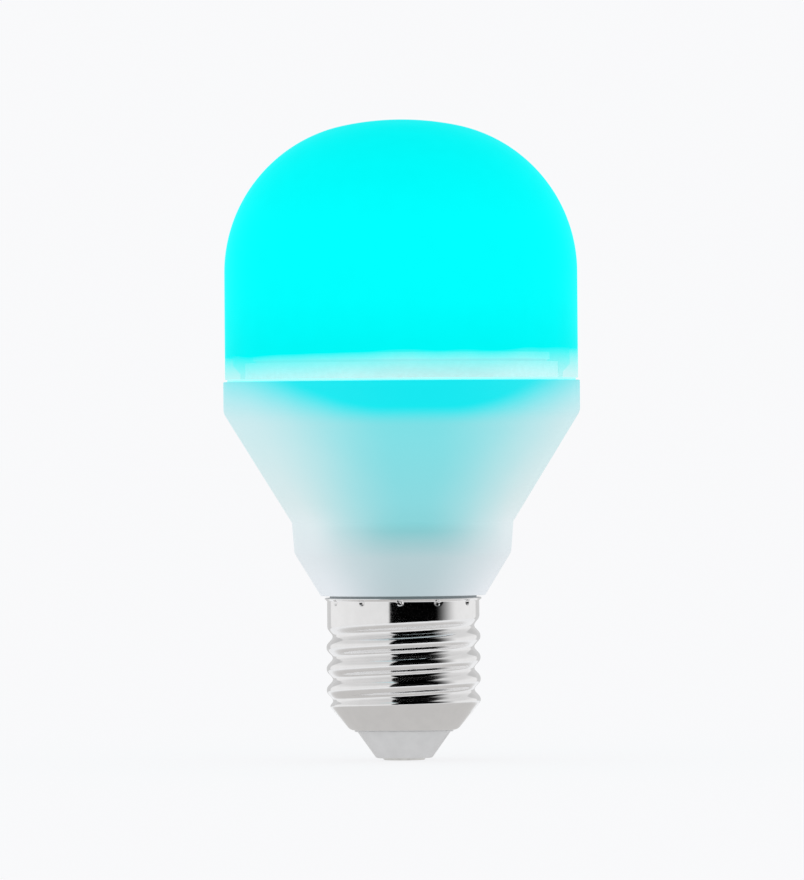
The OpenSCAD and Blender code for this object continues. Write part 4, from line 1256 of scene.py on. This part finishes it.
class BULB_OT_inside(bpy.types.Operator):
    """Gives the pieces inside their materials"""

    bl_idname = "bulb.inside"
    bl_label = "Inside"

    def execute(self, context):
        for name, nodes, *look in PLAIN:
            made = patterned(name, *look)
            if name in ("drawn_aluminium", "white_mask", "gap_pad"):
                # Painted light: a pale glow is painted on their rims at the seam in place of the emitters'
                # light they catch inside the dome
                painted_rim_light = made.z.eased(Z_RIM / MM - 1.0, Z_RIM / MM + 0.2) * made.radius.eased(24.0, 25.1)
                pale = made.ramp(made.x * 0.02 + 0.5, (
                    (0.0, 0.4, 0.27, 0.28), (0.5, 0.62, 0.28, 0.27), (1.0, 0.48, 0.31, 0.31),
                ))
                made.glow(pale, painted_rim_light)
            for node in nodes:
                dress(node, made)
        return {"FINISHED"}


# ---------------------------------------------------------------- stage


def tent_finish(settings):
    """Light tent that only the glossy pieces see: pale, with one dark stripe to the right of the viewer."""
    made = Finish("light_tent", (0.0, 0.0, 0.0), Roughness=1.0, Specular_IOR_Level=0.0)
    turn = made.turn()
    left = turn.eased(settings.stripe_from + math.radians(2), settings.stripe_from - math.radians(1))
    right = turn.eased(settings.stripe_to - math.radians(2), settings.stripe_to + settings.stripe_fade)
    pale = left.math("MAXIMUM", right)
    behind = abs(turn).eased(math.radians(134), math.radians(139)) * 0.28
    far_behind = abs(turn).eased(math.radians(163), math.radians(172)) * 0.4
    high = made.z.eased(25.0, 90.0) * 0.16
    glow = (0.87 - high + abs(turn).eased(0.6, 2.0) * 0.06) * (1.0 - behind) * (1.0 - far_behind)
    line = 1.0 - abs(made.z - 38.0).eased(0.5, 3.0)
    level = pale * glow + line * 0.05
    made.glow(made.vector(level, level, level))
    return made


class BULB_OT_stage(bpy.types.Operator):
    """Sets the camera, the world, the floor and the tent, cover and disc that the plating mirrors"""

    bl_idname = "bulb.stage"
    bl_label = "Stage"

    def execute(self, context):
        settings = context.scene.bulb_stage
        scene = context.scene
        scene.view_settings.view_transform = "Standard"
        self.camera(scene, settings)
        self.world(scene, settings)
        self.floor(settings)
        self.tent(settings)
        return {"FINISHED"}

    def camera(self, scene, settings):
        data = bpy.data.cameras.new("camera")
        data.lens = settings.lens
        data.clip_end = 100
        camera = bpy.data.objects.new("camera", data)
        camera.location = (0, -settings.camera_distance, settings.camera_height)
        camera.rotation_euler = (math.pi / 2, settings.roll, 0)
        scene.collection.objects.link(camera)
        scene.camera = camera

    def world(self, scene, settings):
        world = bpy.data.worlds.new("studio")
        world.use_nodes = True
        world.node_tree.nodes["Background"].inputs[0].default_value = four(settings.backdrop)
        scene.world = world

    def floor(self, settings):
        mesh = bmesh.new()
        bmesh.ops.create_grid(mesh, x_segments=8, y_segments=8, size=settings.floor_size / 2)
        bmesh.ops.translate(mesh, verts=mesh.verts, vec=(0, 0, -0.05 * MM))
        floor = make_piece("floor", mesh)
        made = Finish("pale_floor", (0.2, 0.2, 0.2), Roughness=1.0, Specular_IOR_Level=0.0)
        made.glow(tuple(settings.backdrop), 0.8)
        floor.data.materials.append(made.material)

    def tent(self, settings):
        finish = tent_finish(settings)
        foot = 0.5 * MM
        sheet = 2 * MM
        shares = ((1, 0.3), (1, 0.7), (1, 1.5), (0.8, 2.3), (0.4, 3.0), (0, 3.0))
        wall = [(settings.tent_r, foot)] + [(settings.tent_r * r, settings.tent_r * z) for r, z in shares]
        top = wall[-1][1]
        outer = [(r + sheet if r else 0, z + (sheet if z == top else 0)) for r, z in wall]
        tent = make_piece("light_tent", turned(wall + outer[::-1], even_turns(96)))
        cover = make_piece("dark_cover", self.cover_mesh(settings))
        disc_line = [(0, 0.4 * MM), (72 * MM, 0.4 * MM), (0, 0.3 * MM)]
        disc = make_piece("grey_disc", turned(disc_line, even_turns(64)))
        grey = Finish("grey_disc", (0.0, 0.0, 0.0), Roughness=1.0, Specular_IOR_Level=0.0)
        grey.glow((0.62, 0.61, 0.6))
        grey.set("Alpha", 1.0 - grey.radius.eased(16.0, 48.0))
        for piece, look in ((tent, finish), (cover, finish), (disc, grey)):
            piece.data.materials.append(look.material)
            piece.visible_camera = False
            piece.visible_diffuse = False
            piece.visible_transmission = False
            piece.visible_shadow = False

    def cover_mesh(self, settings, steps=24):
        """Curved dark sheet close round the cap, over the width of the stripe."""
        first = settings.stripe_from
        last = settings.stripe_to + settings.stripe_fade * 0.7
        line = ((14.6, 27.6), (15.0, 28.4), (19.3, 35.0), (19.6, 40.0), (31.2, 59.0), (31.2, 64.0))
        mesh = bmesh.new()
        rows = []
        for i in range(steps + 1):
            turn = first + (last - first) * i / steps
            rows.append([
                mesh.verts.new(Vector((r * math.sin(turn), -r * math.cos(turn), z)) * MM) for r, z in line
            ])
        for row, after in zip(rows, rows[1:]):
            for k in range(len(line) - 1):
                mesh.faces.new((row[k], row[k + 1], after[k + 1], after[k]))
        return mesh


# ---------------------------------------------------------------- panel and registration


class BULB_PT_panel(bpy.types.Panel):
    """Lists the steps that make the bulb, and what can be changed first"""

    bl_idname = "BULB_PT_panel"
    bl_label = "Smart light bulb"
    bl_space_type = "VIEW_3D"
    bl_region_type = "UI"
    bl_category = "Bulb"

    def draw(self, context):
        for group, kind in GROUPS.items():
            box = self.layout.box()
            for name in kind.__annotations__:
                box.prop(getattr(context.scene, group), name)
        for step in STEPS:
            self.layout.operator(step.bl_idname)


STEPS = (
    BULB_OT_stage,
    BULB_OT_dome,
    BULB_OT_seam,
    BULB_OT_housing,
    BULB_OT_shell,
    BULB_OT_cap_end,
    BULB_OT_leads,
    BULB_OT_windings,
    BULB_OT_details,
    BULB_OT_inside,
)
CLASSES = (*GROUPS.values(), *STEPS, BULB_PT_panel)


def register():
    for kind in CLASSES:
        bpy.utils.register_class(kind)
    for name, kind in GROUPS.items():
        setattr(bpy.types.Scene, name, PointerProperty(type=kind))


def unregister():
    for name in GROUPS:
        delattr(bpy.types.Scene, name)
    for kind in reversed(CLASSES):
        bpy.utils.unregister_class(kind)


def main():
    register()
    for step in STEPS:
        getattr(bpy.ops.bulb, step.bl_idname.split(".")[1])()


if __name__ == "__main__":
    main()
